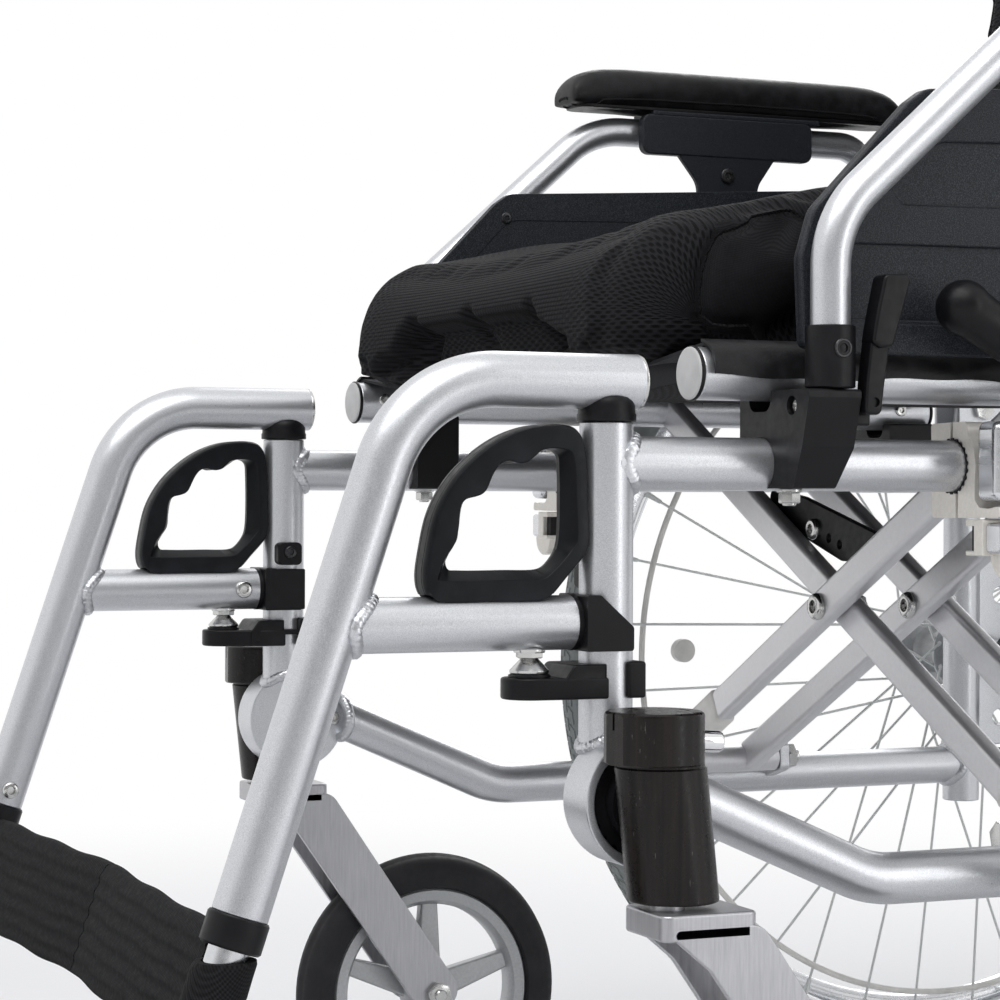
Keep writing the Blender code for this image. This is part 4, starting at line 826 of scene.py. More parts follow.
def side_frames():
    """Welded side frame: tubes with their weld beads, caster ring, axle plate and receiver, hinge plates."""
    x = FRAME_X
    fall = Vector((0, 112.5, -49.5)).normalized()
    lower = bend([(x, RING_Y + 21, 279.5), (x, 143, LOWER_Z), (x, REAR_Y + 2, LOWER_Z)], 60, 24)
    ends = [(RING_IN + a, RING_Y, RING_Z) for a in (-20, 0.2)]
    inboard = rod(*ends, RING_R - 0.5, sides=72, soft=0)
    ring = [(-RING_R, 0), (-1.2, 0), (-0.3, 0.3), (0, 1.2), (0, 25), (-0.3, 25.7), (-1, 26), (-3.9, 26),
            (-4.5, 25.4), (-4.5, 8), (-RING_R, 8)]
    tubes = [
        cut(tube([(x, 0, 262), (x, 0, POST_TOP)], TUBE_R), [inboard.copy()]),
        tube([(x, 1, SIDE_Z), (x, REAR_Y, SIDE_Z)], TUBE_R),
        cut(tube(lower, TUBE_R), [inboard]),
        tube([(x, REAR_Y, 205), (x, REAR_Y, 455)], TUBE_R),
        lathe([(max(0, RING_R + r), t) for r, t in ring], (RING_IN, RING_Y, RING_Z), OUT, 72),
    ]
    low = TUBE_R - 1.2
    front = bead(joint_curve((x, 0, SIDE_Z), BACK, low, (x, 0, 0), UP, TUBE_R + 0.2))
    for v in front.vertices:
        out = v.co.x - x
        if abs(out) > 12:
            v.co.x = x + math.copysign(12 + (abs(out) - 12) * 0.28, out)
    tubes += [
        front,
        bead(joint_curve((x, REAR_Y, SIDE_Z), FRONT, low, (x, REAR_Y, 0), UP, TUBE_R + 0.2)),
        bead(joint_curve((x, REAR_Y, LOWER_Z), FRONT, low, (x, REAR_Y, 0), UP, TUBE_R + 0.2)),
        bead(joint_curve((x, RING_Y, 288.8), fall, low, (0, RING_Y, RING_Z), OUT, RING_R + 0.2), 3.3, 2.6),
        bead(joint_curve((x, 0, RING_Z), UP, low, (0, RING_Y, RING_Z), OUT, RING_R + 0.2), 3.3, 2.6),
    ]
    corners = rounded([(REAR_Y + 11, 243), (566, 243), (566, 372), (REAR_Y + 11, 372)], 8)
    holes = [circle(551, z, 5.5) for z in (284, 326)] + [circle(530, z, 5.5) for z in (262, 348)]
    tubes.append(plate([corners] + holes, "X", 230.5, 235.5, 0.7))
    tubes.append(lathe([(AXLE_HOLE, 0), (10.8, 0), (11.5, 0.7), (11.5, 40), (10.8, 41), (AXLE_HOLE, 41)],
                       (221, AXLE_Y, AXLE_Z), OUT, 40))
    tubes.append(box(224.5, 234, 556, 588, 254, 274, 2.0))
    for y in (BAR_Y - 12, BAR_Y + BAR_PITCH + 24):
        ear = rounded([(200, 235), (233, 225), (234, 241.5), (214, 253), (201, 253)], [4, 1, 1, 4, 4])
        tubes.append(plate([ear], "Y", y - 3.5, y + 3.5, 0.7))
    outline = rounded([(487, 412), (519, 412), (524, 492), (512, 500), (494, 497), (486, 480)], 6)
    tubes += [plate([outline], "X", 215.5, 219.5, 0.6), plate([outline], "X", 243.7, 247.2, 0.6)]
    pair("frame_tubes", tubes, "frame", "frame_silver", "side_frame")
    mid = (SOCKET_Y0 + SOCKET_Y1) / 2
    steel = [
        rod((PIVOT_X, BAR_Y - 17, PIVOT_Z), (PIVOT_X, BAR_Y + BAR_PITCH + 30, PIVOT_Z), 4.9),
        hex_nut((PIVOT_X, BAR_Y - 15.6, PIVOT_Z), FRONT, 8.5, 5.5),
        hex_nut((PIVOT_X, BAR_Y + BAR_PITCH + 27.6, PIVOT_Z), BACK, 8.5, 6.5, (4.9, 3)),
        rod((218, HINGE_Y, HINGE_Z), (245, HINGE_Y, HINGE_Z), 4.0),
        hex_nut((215.5, HINGE_Y, HINGE_Z), INWARD, 8.0, 4.0),
        socket_screw((RING_IN, 33, RING_Z), INWARD, 4.4, 3.4),
        lathe([(0, 0), (6.3, 0), (6.3, 1.0), (5.4, 1.6), (0, 1.6)], (x + 3, mid, 420.1), DOWN, 36),
        hex_nut((x + 3, mid, 418.6), DOWN, 5.4, 5.2, (3.4, 1.2)),
    ]
    steel += [hex_nut((215.5, REAR_Y, z), INWARD, 6.5, 3.2) for z in (424, 444)]
    pair("frame_bolts", steel, "frame", "zinc")
    dark = [hex_nut((221, AXLE_Y, AXLE_Z), INWARD, 15.0, 4.0),
            lathe([(AXLE_HOLE, 0), (13.5, 0), (13.5, 5), (AXLE_HOLE, 5)], (236, AXLE_Y, AXLE_Z), OUT, 6)]
    pair("axle_nuts", dark, "frame", "dark_steel")
    lug = plate([rounded([(-8.9, 373), (6.7, 373), (6.7, 387), (-8.9, 387)], 3)], "X",
                FRAME_X - TUBE_R - 4.2, FRAME_X - TUBE_R + 6, 1.0)
    pair("post_plate", lug, "frame", "plastic_black")
    pair("post_plate_screw", socket_screw((FRAME_X - TUBE_R - 4.0, -1.2, 381), INWARD, 3.8, 1.8), "frame",
         "dark_steel")


def stop_blocks():
    """Clamp on the post whose round front part carries the hanger's cone."""
    x = FRAME_X
    arc = [math.pi * (1 + k / 24) for k in range(25)]
    plan = [(x - 0.3 + 13.2 * math.cos(a), STOP_Y + 13.2 * math.sin(a)) for a in arc]
    plan += [(247, -20), (247, -5), (213.5, -5), (213.5, -20)]
    front = plate([plan], "Z", 323, 333, 1.2)
    edge = [(-27, 325), (-26.5, 332.6), (-22, 339), (-5.5, 339), (-5.5, 325)]
    rise = plate([rounded(edge, [1, 2, 3, 0.5, 0.5])], "X", 214, 246.6, 1.0)
    back = box(213.5, 247, 5, 14.5, 323, 340, 1.4)
    bridge = rod((217, -8, 331.5), (217, 9, 331.5), 1.7, sides=16)
    seat = lathe([(0, 0), (9.8, 0), (9.8, 0.9), (9.0, 1.3), (0, 1.3)], (x, STOP_Y, 333.2), UP, 40)
    pair("stop_clamp", [front, rise, back, bridge, seat], "frame", "plastic_black", "stop_block")
    pair("stop_clamp_screw", socket_screw((x, 14.3, 331.5), BACK, 3.6, 2.2), "frame", "dark_steel")


def sockets():
    """Blocks clamped round the side tube, with a saddle for the seat tube."""
    for name, y0, y1, outer in (("front_socket", SOCKET_Y0, SOCKET_Y1, 274.5),
                                ("rear_socket", ARM_REAR - 17, ARM_REAR + 17, 284)):
        outline = [(212, 420.5), (outer - 6, 420.5), (outer, 440), (outer, 467), (212, 467)]
        if name == "front_socket":
            outline = [(212, 420.5), (264.5, 420.5), (272.5, 440), (279, 463), (279, 467), (212, 467)]
        base = plate([rounded(outline, 2)], "Y", y0, y1, 0)
        tools = [
            rod((FRAME_X, y0 - 5, SIDE_Z), (FRAME_X, y1 + 5, SIDE_Z), TUBE_R + 0.35, sides=48),
            rod((SEAT_X, y0 - 5, SEAT_Z), (SEAT_X, y1 + 5, SEAT_Z), TUBE_R + 0.6, sides=48),
            box(SEAT_X - 9, SEAT_X + 12.5, y0 - 5, y1 + 5, 457, 480, 6, 5),
        ]
        if name == "front_socket":
            tools.append(rod((262.5, y0 - 2, 459.5), (262.5, y0 + 3.5, 459.5), 4.6))
            edge = [(y1 - 7, 415), (y1 + 5, 415), (y1 + 5, 445), (y1 + 0.5, 441)]
            tools.append(plate([edge], "X", 205, 290, 0))
            shape = cut(base, tools, 0.9)
            latch_ear = box(262, 271, y1 - 2, y1 + 10, 450, 464, 1.5)
            pair("front_block", [shape, latch_ear], "frame", "plastic_black", name)
            screw = lathe([(0, 0), (3.6, 0), (3.4, 1.2), (2.2, 1.5), (2.0, 0.4), (0, 0.3)],
                          (262.5, y0 + 3.4, 459.5), FRONT, 24)
            pair("front_block_screw", screw, "frame", "zinc")
            continue
        tools.append(box(257.5, 278.5, y0 - 2, y1 + 2, 446, 480, 0))
        shape = cut(base, tools, 0.9)
        mid = (y0 + y1) / 2
        ears = [box(a, b, mid - 12, mid + 12, 450, 474, 2.0) for a, b in ((252, 257.5), (278.5, 284))]
        pair("rear_block", [shape, ears], "frame", "plastic_black", name)
        pin = [rod((250.5, mid, 462), (286, mid, 462), 4.0), hex_nut((284, mid, 462), OUT, 7, 4.5, (4, 1.5)),
               hex_nut((252, mid, 462), INWARD, 7, 3.5)]
        pair("rear_block_pin", pin, "frame", "zinc")


def brake_mounts():
    """Slit clamp on the side tube with its flared foot, the bright pivot plate and the C bracket below."""
    y0, y1 = CLAMP_Y0, CLAMP_Y1
    section = [(213.3, 453.4), (246, 453.9), (246.3, 446), (251.1, 441.6), (253.2, 431.8), (252.4, 423.7),
               (252.4, 415.5), (256.2, 411.5), (264, 411.1), (273.4, 412.4), (274.8, 406.8),
               (214.5, 406.3)]
    hole = rod((FRAME_X, y0 - 5, SIDE_Z), (FRAME_X, y1 + 5, SIDE_Z), TUBE_R + 0.3, sides=48)
    slits = [box(230.9, 233.1, y0 - 5, y1 + 5, 440, 470, 0), box(235.6, 237.8, y0 - 5, y1 + 5, 400, 422, 0)]
    edge = rounded(section, [2, 4, 3, 6, 8, 8, 3, 4, 4, 2, 2, 2])
    clamp = cut(plate([edge], "Y", y0, y1, 0), [hole] + slits, 0.7)
    pair("brake_clamp", clamp, "frame", "bracket_alloy", "brake_mount")
    teeth = toothed(FRAME_X, SIDE_Z, TUBE_R + 0.4, TUBE_R + 1.3, 88, (1, 2))
    collar = plate([teeth, circle(FRAME_X, SIDE_Z, TUBE_R + 0.1, 48)], "Y", y0 - 0.8, y0 + 4, 0)
    inside_c = box(249, 255.4, y0 + 1, y1 + 4, 389.6, 404.4, 0)
    pair("brake_clamp_liner", [collar, inside_c], "frame", "plastic_black")
    sheath = box(256.5, 274.5, y0 - 2.5, 219, 414.5, 453.5, 4.5, 6)
    block = box(262, 275.5, y0 - 0.5, y1 + 5, 389.5, 404.2, 2.0, 4)
    pair("brake_plate", [sheath, block], "frame", "rim_steel")
    web = box(254.6, 262.4, y0 - 2, y1 + 8, 388.1, 405.9, 0.7)
    flanges = [box(247.7, 256, y0 - 2, y1 + 8, *z, 0.5) for z in ((402.6, 405.9), (388.1, 390.5))]
    eye = lathe([(0, 0), (10.8, 0), (11.4, 0.6), (11.4, 18), (0, 18)], (270, y0 + 5, 388.5), BACK, 40)
    pair("brake_bracket", [web, flanges, eye], "frame", "bracket_alloy")
    steel = [rod((262, BRAKE_Y, BRAKE_Z), (284, BRAKE_Y, BRAKE_Z), 5.0),
             hex_nut((282.5, BRAKE_Y, BRAKE_Z), OUT, 8.0, 4.0, (4.9, 1.5)),
             rod((262, 219, 430), (262, BRAKE_Y, BRAKE_Z), 5.0)]
    pair("brake_bolts", steel, "frame", "zinc")


def caster_housings():
    """Round bearing housing outboard of the ring under a wider cap, leaning back towards its foot."""
    r = HOUSING_R
    start = (HOUSING_X, HOUSING_Y, 0)
    profile = [(0, 234), (r - 1.2, 234), (r - 0.3, 234.4), (r, 235.4), (r, 294.4), (r - 0.8, 295.2),
               (r - 0.8, 296.6), (0, 296.6)]
    body = lathe(profile, start, UP, 96)
    for v in body.vertices:
        v.co.y += 3 + (296 - v.co.z) * 0.11
    rim = r + 1.8
    profile = [(0, 296.2), (rim - 0.9, 296.2), (rim, 297), (rim, 318), (rim - 0.4, 319.2), (rim - 1.6, 320),
               (0, 320)]
    cap = lathe(profile, start, UP, 96)
    face = box(-12, 12, -6, 0, 290, 330, 0)
    face_at = (HOUSING_X + 0.167 * 21.9, HOUSING_Y - 0.986 * 21.9, 0)
    face.transform(Matrix.Translation(face_at) @ Matrix.Rotation(0.168, 4, "Z"))
    notches = [
        face, box(283.5, 285.0, -26, -17, 312, 330, 0), box(296, 298.2, 12, 17, 318.8, 330, 0),
        box(264, 274, -4, -2.4, 319, 330, 0), box(277, 287, 15.5, 17, 319, 330, 0),
    ]
    cap = cut(cap, notches)
    pair("caster_housing_shell", [body, cap], "frame", "housing_black", "caster_housing", angle=30)
    pin = lathe([(0, 0), (5, 0), (5, 9.5), (4.4, 11), (3, 11.5), (0, 11.5)],
                (HOUSING_X + 3, HOUSING_Y + r, 306), (0, 1, -0.07), 32)
    pair("caster_housing_pin", pin, "frame", "rod_chrome")
    teeth = toothed(RING_Y, RING_Z, RING_R - 5.2, RING_R - 6.5, 96, (2, 3))
    insert = plate([teeth], "X", RING_IN + 8.3, RING_OUT - 4, 0)
    washer = lathe([(0, 0), (18.5, 0), (19.5, 1), (19.5, 9), (0, 9)], (RING_OUT - 5, RING_Y, RING_Z), OUT, 48)
    inner = lathe([(0, 0), (12, 0), (12, 26), (0, 26)], (HOUSING_X, STEM_Y, 236), UP, 32)
    pair("caster_bearing", [insert, washer, inner], "frame", "plastic_black")


def caster_forks():
    """Two slanting legs under a crown, with the axle's nuts."""
    wheel_y = STEM_Y + CASTER_TRAIL
    outline = [(STEM_Y - 12, 225), (STEM_Y + 38, 225), (wheel_y + 17, 92), (wheel_y + 4, 74)]
    outline += [(wheel_y - 15, 84), (STEM_Y + 12, 205)]
    leg = rounded(outline, [3, 12, 12, 12, 12, 8])
    legs = [plate([leg], "X", STEM_X + a, STEM_X + a + 4, 0.8) for a in (-21, 17)]
    crown = [(STEM_X + a * 21, STEM_Y + b) for a, b in ((-1, -12), (1, -12), (1, 36), (-1, 36))]
    top = plate([rounded(crown, 5)], "Z", 219, 231, 1.4)
    stem = rod((STEM_X, STEM_Y, 228), (STEM_X, STEM_Y, 262), 8.0)
    pair("fork", [legs, top, stem], "fork", "fork_grey", "caster_fork")
    steel = [hex_nut((STEM_X + s * 21, wheel_y, CASTER_R), (s, 0, 0), 8.5, 5, (4, 2.5)) for s in (-1, 1)]
    steel += [rod((STEM_X - 22, wheel_y, CASTER_R), (STEM_X + 22, wheel_y, CASTER_R), 4.1)]
    pair("fork_bolts", steel, "fork", "zinc")


def caster_wheels():
    """Soft grooved tread on a moulded five-spoke hub."""
    c = (STEM_X, STEM_Y + CASTER_TRAIL, CASTER_R)
    tread = []
    for k in range(21):
        a = math.radians(-80 + 8 * k)
        r = 74 + 16 * math.cos(a) ** 0.8
        r -= 0.8 if k in (7, 8, 12, 13) else 0.0
        tread.append((r, 15.0 * math.sin(a)))
    ring = tread + [(69, 13.5), (67.5, 9), (67.5, -9), (69, -13.5), tread[0]]
    pair("caster_tyre", lathe(ring, c, OUT, 96), "caster", "caster_grey", "caster_wheel")
    half = [(67.8, -9), (66.5, -10.5), (60, -9.5), (57, -5)]
    rim = lathe(half + across(half) + half[:1], c, OUT, 96)
    half = [(4.6, -14), (12, -14), (14, -12), (17, -6)]
    hub = lathe(half + [(19, 0)] + across(half) + half[:1], c, OUT, 48)
    arms = []
    for k in range(5):
        a = 2 * math.pi * k / 5 + 0.3
        arm = plate([rounded([(12, -9), (60, -5.5), (60, 5.5), (12, 9)], 2)], "X", -4.5, 4.5, 1.6)
        arm.transform(Matrix.Translation(c) @ Matrix.Rotation(a, 4, "X"))
        arms.append(arm)
    pair("caster_hub", [rim, hub, arms], "caster", "hub_grey")


def rear_wheels():
    """Box rim, flanged hub, crossed spokes with nipples, quick-release axle, push rim on stand-offs."""
    c = Vector((WHEEL_X, AXLE_Y, AXLE_Z))
    lip = [(0, -8.5), (2.5, -10), (3.2, -9.2), (3.2, -8.4), (0, -7)]
    well = [(-8, 9.5), (-12, 7.5), (-15.5, 3)]
    section = lip + [(-1, 0)] + across(lip) + well + [(-16.5, 0)] + across(well) + lip[:1]
    rim = lathe([(RIM_R + r, t) for r, t in section], c, OUT, 144)
    bright = [rim, lathe(hoop(HANDRIM_R, HANDRIM_X - WHEEL_X, 9, 9, 20), c, OUT, 144)]
    aside = Vector(OUT)
    for k in range(6):
        a = math.radians(30 + 60 * k)
        out = Vector((0, math.cos(a), math.sin(a)))
        start = c + aside * 4 + out * (RIM_R - 10)
        end = c + aside * (HANDRIM_X - WHEEL_X - 4) + out * HANDRIM_R
        bright.append(rod(start, end, 3.6, 3.2, 20))
        bright.append(rod(end - aside * 2, end + aside + out, 6.5, sides=20))
    pair("wheel_rim", bright, "wheel", "rim_steel", "rear_wheel")
    hub = [(6.4, -34), (15, -34), (16, -33), (16, -31.5), (26, -31), (27.5, -30), (27.5, -28), (26, -27),
           (17, -26)]
    hub += [(14, -22), (12.5, -8), (14, 10), (17, 14), (26, 15), (27.5, 16), (27.5, 18), (26, 19), (16, 19.5)]
    hub += [(16, 21), (15, 22), (6.4, 22), (6.4, -34)]
    pair("wheel_hub", lathe(hub, c, aside, 64), "wheel", "hub_grey")
    wires = []
    for k in range(SPOKES):
        side = -29.5 if k % 2 else 17.0
        a = 2 * math.pi * (k + 0.5) / SPOKES
        cross = 1 if (k // 2) % 2 else -1
        lead = a + math.radians(52 * cross)
        start = c + Vector((side + 1.6 * cross, 24.3 * math.cos(lead), 24.3 * math.sin(lead)))
        end = c + Vector((side * 0.1, (RIM_R - 14) * math.cos(a), (RIM_R - 14) * math.sin(a)))
        along = (end - start).normalized()
        wires.append(rod(start, end, 0.95, sides=10, soft=0.2))
        wires.append(rod(end - along * 13, end + along * 2, 1.5, 2.4, 12, 0.3))
        wires.append(ball(start + Vector((-1.2 * cross, 0, 0)), 2.2, 10))
    pair("wheel_spokes", wires, "wheel", "spoke_grey")
    cap = [(0, 0), (10.5, 0), (11, 0.6), (11, 5), (9.5, 6.5), (6.5, 6.5), (6.2, 5.5), (5.8, 8.5), (4.5, 9.3),
           (0, 9.3)]
    axle = [rod((224, AXLE_Y, AXLE_Z), (WHEEL_X + 24, AXLE_Y, AXLE_Z), 6.2),
            lathe(cap, (WHEEL_X + 22, AXLE_Y, AXLE_Z), OUT, 40)]
    pair("wheel_axle", axle, "wheel", "zinc")
    disc = [lathe(hoop(THIN_RING_R, -4.5, 2.2, 1.6, 12), c, OUT, 144)]
    cap = [(0, 2), (5.2, 2), (5.6, 0), (7.6, 0), (8, 0.6), (8, 6.5), (0, 6.5)]
    for a in REFLECTORS:
        at = c + Vector((-6.5, REFLECTOR_R * math.cos(a), REFLECTOR_R * math.sin(a)))
        disc.append(lathe(cap, at, INWARD, 36))
    pair("wheel_discs", disc, "wheel", "sleeve_white")


def rear_tyres():
    """Grey tyre: smooth sides, small raised tread blocks in three rows."""
    profile = []
    for k in range(25):
        a = math.radians(-118 + 236 * k / 24)
        r = TYRE_R - (0.9 if abs(a) < 0.62 else 0.0)
        profile.append((WHEEL_R - TYRE_R + r * math.cos(a), r * math.sin(a)))
    profile += [(RIM_R + 3.4, 7.2), (RIM_R + 0.6, 6.4), (RIM_R + 0.6, -6.4), (RIM_R + 3.4, -7.2), profile[0]]
    base = lathe(profile, (WHEEL_X, AXLE_Y, AXLE_Z), OUT, 180)
    bm = bmesh.new()
    count = 150
    wide = math.pi / count * 0.74
    for lean_a, half, offset, slope in ((-0.40, 0.15, 0.0, -0.35), (0.0, 0.17, 0.5, 0.0),
                                        (0.40, 0.15, 0.0, 0.35)):
        slant = slope * math.pi / count
        for k in range(count):
            turn = 2 * math.pi * (k + offset) / count
            corners = []
            for up, low in ((TYRE_R - 1.2, 1.0), (TYRE_R + 0.05, 0.86)):
                for b, d in ((-1, -1), (-1, 1), (1, 1), (1, -1)):
                    s = lean_a + half * b * low
                    t = turn + wide * d * low + slant * b
                    r = WHEEL_R - TYRE_R + up * math.cos(s)
                    place_at = (WHEEL_X + up * math.sin(s), AXLE_Y + r * math.cos(t),
                                AXLE_Z + r * math.sin(t))
                    corners.append(bm.verts.new(place_at))
            bm.faces.new(corners[4:])
            for i in range(4):
                j = (i + 1) % 4
                bm.faces.new((corners[i], corners[j], corners[j + 4], corners[i + 4]))
    bmesh.ops.recalc_face_normals(bm, faces=bm.faces)
    pair("tyre", [base, from_bmesh(bm)], "wheel", "tyre_grey", "rear_tyre", angle=32)


def hangers():
    """Swing-away hanger: bent tube, welded crossbar, stop cone, lower sliding tube."""
    x = FRAME_X
    end_y = hanger_y(231)
    lean_dir = Vector((0, SLOPE, 1)).normalized()
    leg = tube(bend([(x, 16, HANGER_Z), (x, KNEE_Y, HANGER_Z), (x, end_y, 231)], 58, 30), TUBE_R + 0.3, 44)
    bar_y = hanger_y(CROSSBAR_Z)
    bar = tube([(x, bar_y, CROSSBAR_Z), (x, -17, CROSSBAR_Z)], TUBE_R, 40)
    weld = joint_curve((x, bar_y, CROSSBAR_Z), BACK, TUBE_R - 1.0, (x, bar_y, CROSSBAR_Z), lean_dir,
                       TUBE_R + 0.8)
    pair("hanger_tubes", [leg, bar, bead(weld, 3.5, 2.7)], "hanger", "frame_silver", "hanger")
    low_y = hanger_y(FOOT_Z + FOOT_DROP)
    slide = [(x, hanger_y(236), 236), (x, low_y, FOOT_Z + FOOT_DROP), (x, low_y - 20, FOOT_Z),
             (x, low_y - FOOT_REACH + 4, FOOT_Z)]
    pair("hanger_slide", tube(bend(slide, [14, 14], 10), 9.5), "hanger", "rim_steel")
    rim = [(10.6, 0), (12.9, 0), (13.15, 0.4), (13.1, 1.4), (12.4, 1.9), (11.2, 1.8), (10.6, 1.0), (10.6, 0)]
    steel = [
        lathe(rim, (x, 14.6, HANGER_Z), BACK, 48),
        lathe([(0, 0), (8.8, 0), (9.2, 0.6), (9.2, 1.6), (3.6, 7.4), (3.5, 12.5), (0, 12.5)],
              (x, STOP_Y, 334.7), UP, 40),
        hex_nut((x, STOP_Y, 341.8), UP, 6.6, 3.6),
        lathe([(0, 0), (7.2, 0), (7.4, 0.5), (7.4, 1.6), (6.8, 2.2), (0, 2.2)], (x, STOP_Y, 344.4), UP, 32),
        socket_screw((x - TUBE_R + 0.3, hanger_y(240), 240), INWARD, 5.0, 4.0),
        socket_screw((x - TUBE_R + 0.4, -30, CROSSBAR_Z), INWARD, 5.2, 2.6),
    ]
    pair("hanger_bolts", steel, "hanger", "zinc")
    profile = [(0, 0), (13.6, 0), (14.0, 0.4), (14.0, 3.2), (13.5, 4.0), (13.4, 7.0), (13.0, 9.2),
               (12.0, 11.2), (10.4, 12.4), (8, 13), (0, 13)]
    plug = lathe(profile, (x, 0, POST_TOP + 0.3), UP, 48)
    foot = Vector((x, hanger_y(219), 219))
    profile = [(9.6, -2), (13.4, -2), (14.3, -1), (14.3, 11.5), (13.6, 12.6), (12.9, 12.8), (9.6, 12.8)]
    collar = lathe(profile, foot, lean_dir, 44)
    pair("hanger_plugs", [plug, collar], "hanger", "plastic_black")


def hanger_saddles():
    """Moulded end of the crossbar, hollowed for the post."""
    outline = [(-16.7, 345), (-16.7, 371), (-10, 371), (7, 356), (7, 345)]
    base = plate([rounded(outline, [0.8, 0.8, 2, 2, 1.5])], "X", 217, 249, 0)
    post = rod((FRAME_X, 0, 330), (FRAME_X, 0, 380), TUBE_R + 0.45, sides=48)
    ring = lathe([(11, 0), (12.9, 0), (13.0, 0.3), (13.0, 2.4), (11, 2.4)], (FRAME_X, -19.2, CROSSBAR_Z),
                 BACK, 44)
    cheek = box(216.6, 219.8, -14, 9, 345.4, 370.6, 1.0)
    pair("saddle", [cut(base, [post], 1.1), cheek, ring], "hanger", "plastic_black", "hanger_saddle")


def spline(points):
    """Closed smooth outline through its points (centripetal, so that long straight runs stay straight)."""
    pts = [Vector(p) for p in points]
    out = []
    n = len(pts)
    for i in range(n):
        p0, p1, p2, p3 = (pts[(i + k) % n] for k in (-1, 0, 1, 2))
        t0 = 0.0
        t1 = t0 + (p1 - p0).length ** 0.5
        t2 = t1 + (p2 - p1).length ** 0.5
        t3 = t2 + (p3 - p2).length ** 0.5
        for k in range(10):
            t = t1 + (t2 - t1) * k / 10
            a1 = p0 * ((t1 - t) / (t1 - t0)) + p1 * ((t - t0) / (t1 - t0))
            a2 = p1 * ((t2 - t) / (t2 - t1)) + p2 * ((t - t1) / (t2 - t1))
            a3 = p2 * ((t3 - t) / (t3 - t2)) + p3 * ((t - t2) / (t3 - t2))
            b1 = a1 * ((t2 - t) / (t2 - t0)) + a2 * ((t - t0) / (t2 - t0))
            b2 = a2 * ((t3 - t) / (t3 - t1)) + a3 * ((t - t1) / (t3 - t1))
            out.append(b1 * ((t2 - t) / (t2 - t1)) + b2 * ((t - t1) / (t2 - t1)))
    return out


def even(points, count):
    """The closed outline again with points at equal steps along it."""
    pts = list(points) + [points[0]]
    runs = [0.0]
    for a, b in zip(pts, pts[1:]):
        runs.append(runs[-1] + (b - a).length)
    out = []
    i = 0
    for k in range(count):
        d = runs[-1] * k / count
        while runs[i + 1] < d:
            i += 1
        out.append(pts[i].lerp(pts[i + 1], (d - runs[i]) / (runs[i + 1] - runs[i])))
    return out


def swollen(points, by):
    """A clockwise outline moved outward."""
    out = []
    for i, p in enumerate(points):
        along = (points[(i + 1) % len(points)] - points[i - 1]).normalized()
        out.append(p + Vector((-along.y, along.x)) * by)
    return out


def release_handles():
    """Hand-sized loop with finger waves, a rounded rim, two parting lines and a bevelled inside."""
    rim_edge = [(-77.5, 2), (-78.8, 8), (-77.3, 20), (-73.1, 37.1), (-65.1, 50.9), (-54, 61.9),
                (-41.4, 70.1), (-29.5, 74.5)]
    rim_edge += [(-19.9, 75.9), (-12, 75.8), (-7.2, 74.6), (-3.8, 70.5), (-2.2, 60.6), (-1.5, 43),
                 (-0.9, 25), (-2, 20), (-12, 8.3)]
    rim_edge += [(-19.6, 0.2), (-23, -1.6), (-48, -1.9), (-74, -1.6)]
    hole_edge = [(-75.1, 6.8), (-74, 11), (-72.1, 16), (-66.9, 24), (-65.2, 31), (-64.6, 38), (-63.6, 41.6),
                 (-61.5, 43.8)]
    hole_edge += [(-56.4, 45.2), (-53.6, 46.2), (-51.6, 48), (-48.2, 55.2), (-45.8, 58.8), (-43, 60.9),
                  (-39.5, 61.6)]
    hole_edge += [(-34.5, 60.5), (-30.7, 61.2), (-27.5, 63.5), (-24.3, 66.2), (-20, 67.3), (-12.2, 67),
                  (-8.2, 65.2), (-6.8, 60)]
    hole_edge += [(-5.8, 43), (-5.3, 26), (-6.3, 22.5), (-18.7, 9.2), (-22.4, 7), (-42, 6.3), (-72, 6.3)]
    waist_edge = [(-68.6, 15.5), (-66.2, 20), (-63, 25), (-62, 33.5), (-60.6, 41), (-58.6, 44.4),
                  (-55, 45.6), (-51.6, 46.6)]
    waist_edge += [(-47.4, 52), (-43.6, 58), (-41, 60.4), (-37, 61.4), (-29, 60.5), (-24, 63.5),
                   (-19.5, 66.3), (-15.4, 66.6)]
    waist_edge += [(-12.6, 64), (-11.9, 58), (-12.2, 25), (-13.8, 19.4), (-18.6, 13.2), (-22, 11.4),
                   (-40, 11), (-62, 11), (-67.4, 11.6)]
    face, hole, waist = (even(spline(edge), 360) for edge in (rim_edge, hole_edge, waist_edge))
    wide = [Vector((min(p.x, 0.0), max(p.y, 0.0))) for p in swollen(face, 2.2)]
    mid = FRAME_X
    outer = [(face, 8.5), (swollen(face, 1.2), 7.9), (wide, 5.6), (wide, 3.4), (swollen(wide, -0.35), 3.1),
             (wide, 2.8)]
    inner = [(hole, -8.5), (swollen(hole, -0.5), -8.1), (waist, -1.6)]
    rows = outer + across(outer) + inner + across(inner)
    bm = bmesh.new()
    rings = [[bm.verts.new((mid + x, p.x - 13, p.y + 371.5)) for p in edge] for edge, x in rows]
    for a, b in zip(rings, rings[1:] + rings[:1]):
        for k in range(len(a)):
            j = (k + 1) % len(a)
            bm.faces.new((a[k], a[j], b[j], b[k]))
    bmesh.ops.recalc_face_normals(bm, faces=bm.faces)
    pair("handle", from_bmesh(bm), "release", "handle_black", "release_handle", angle=32)


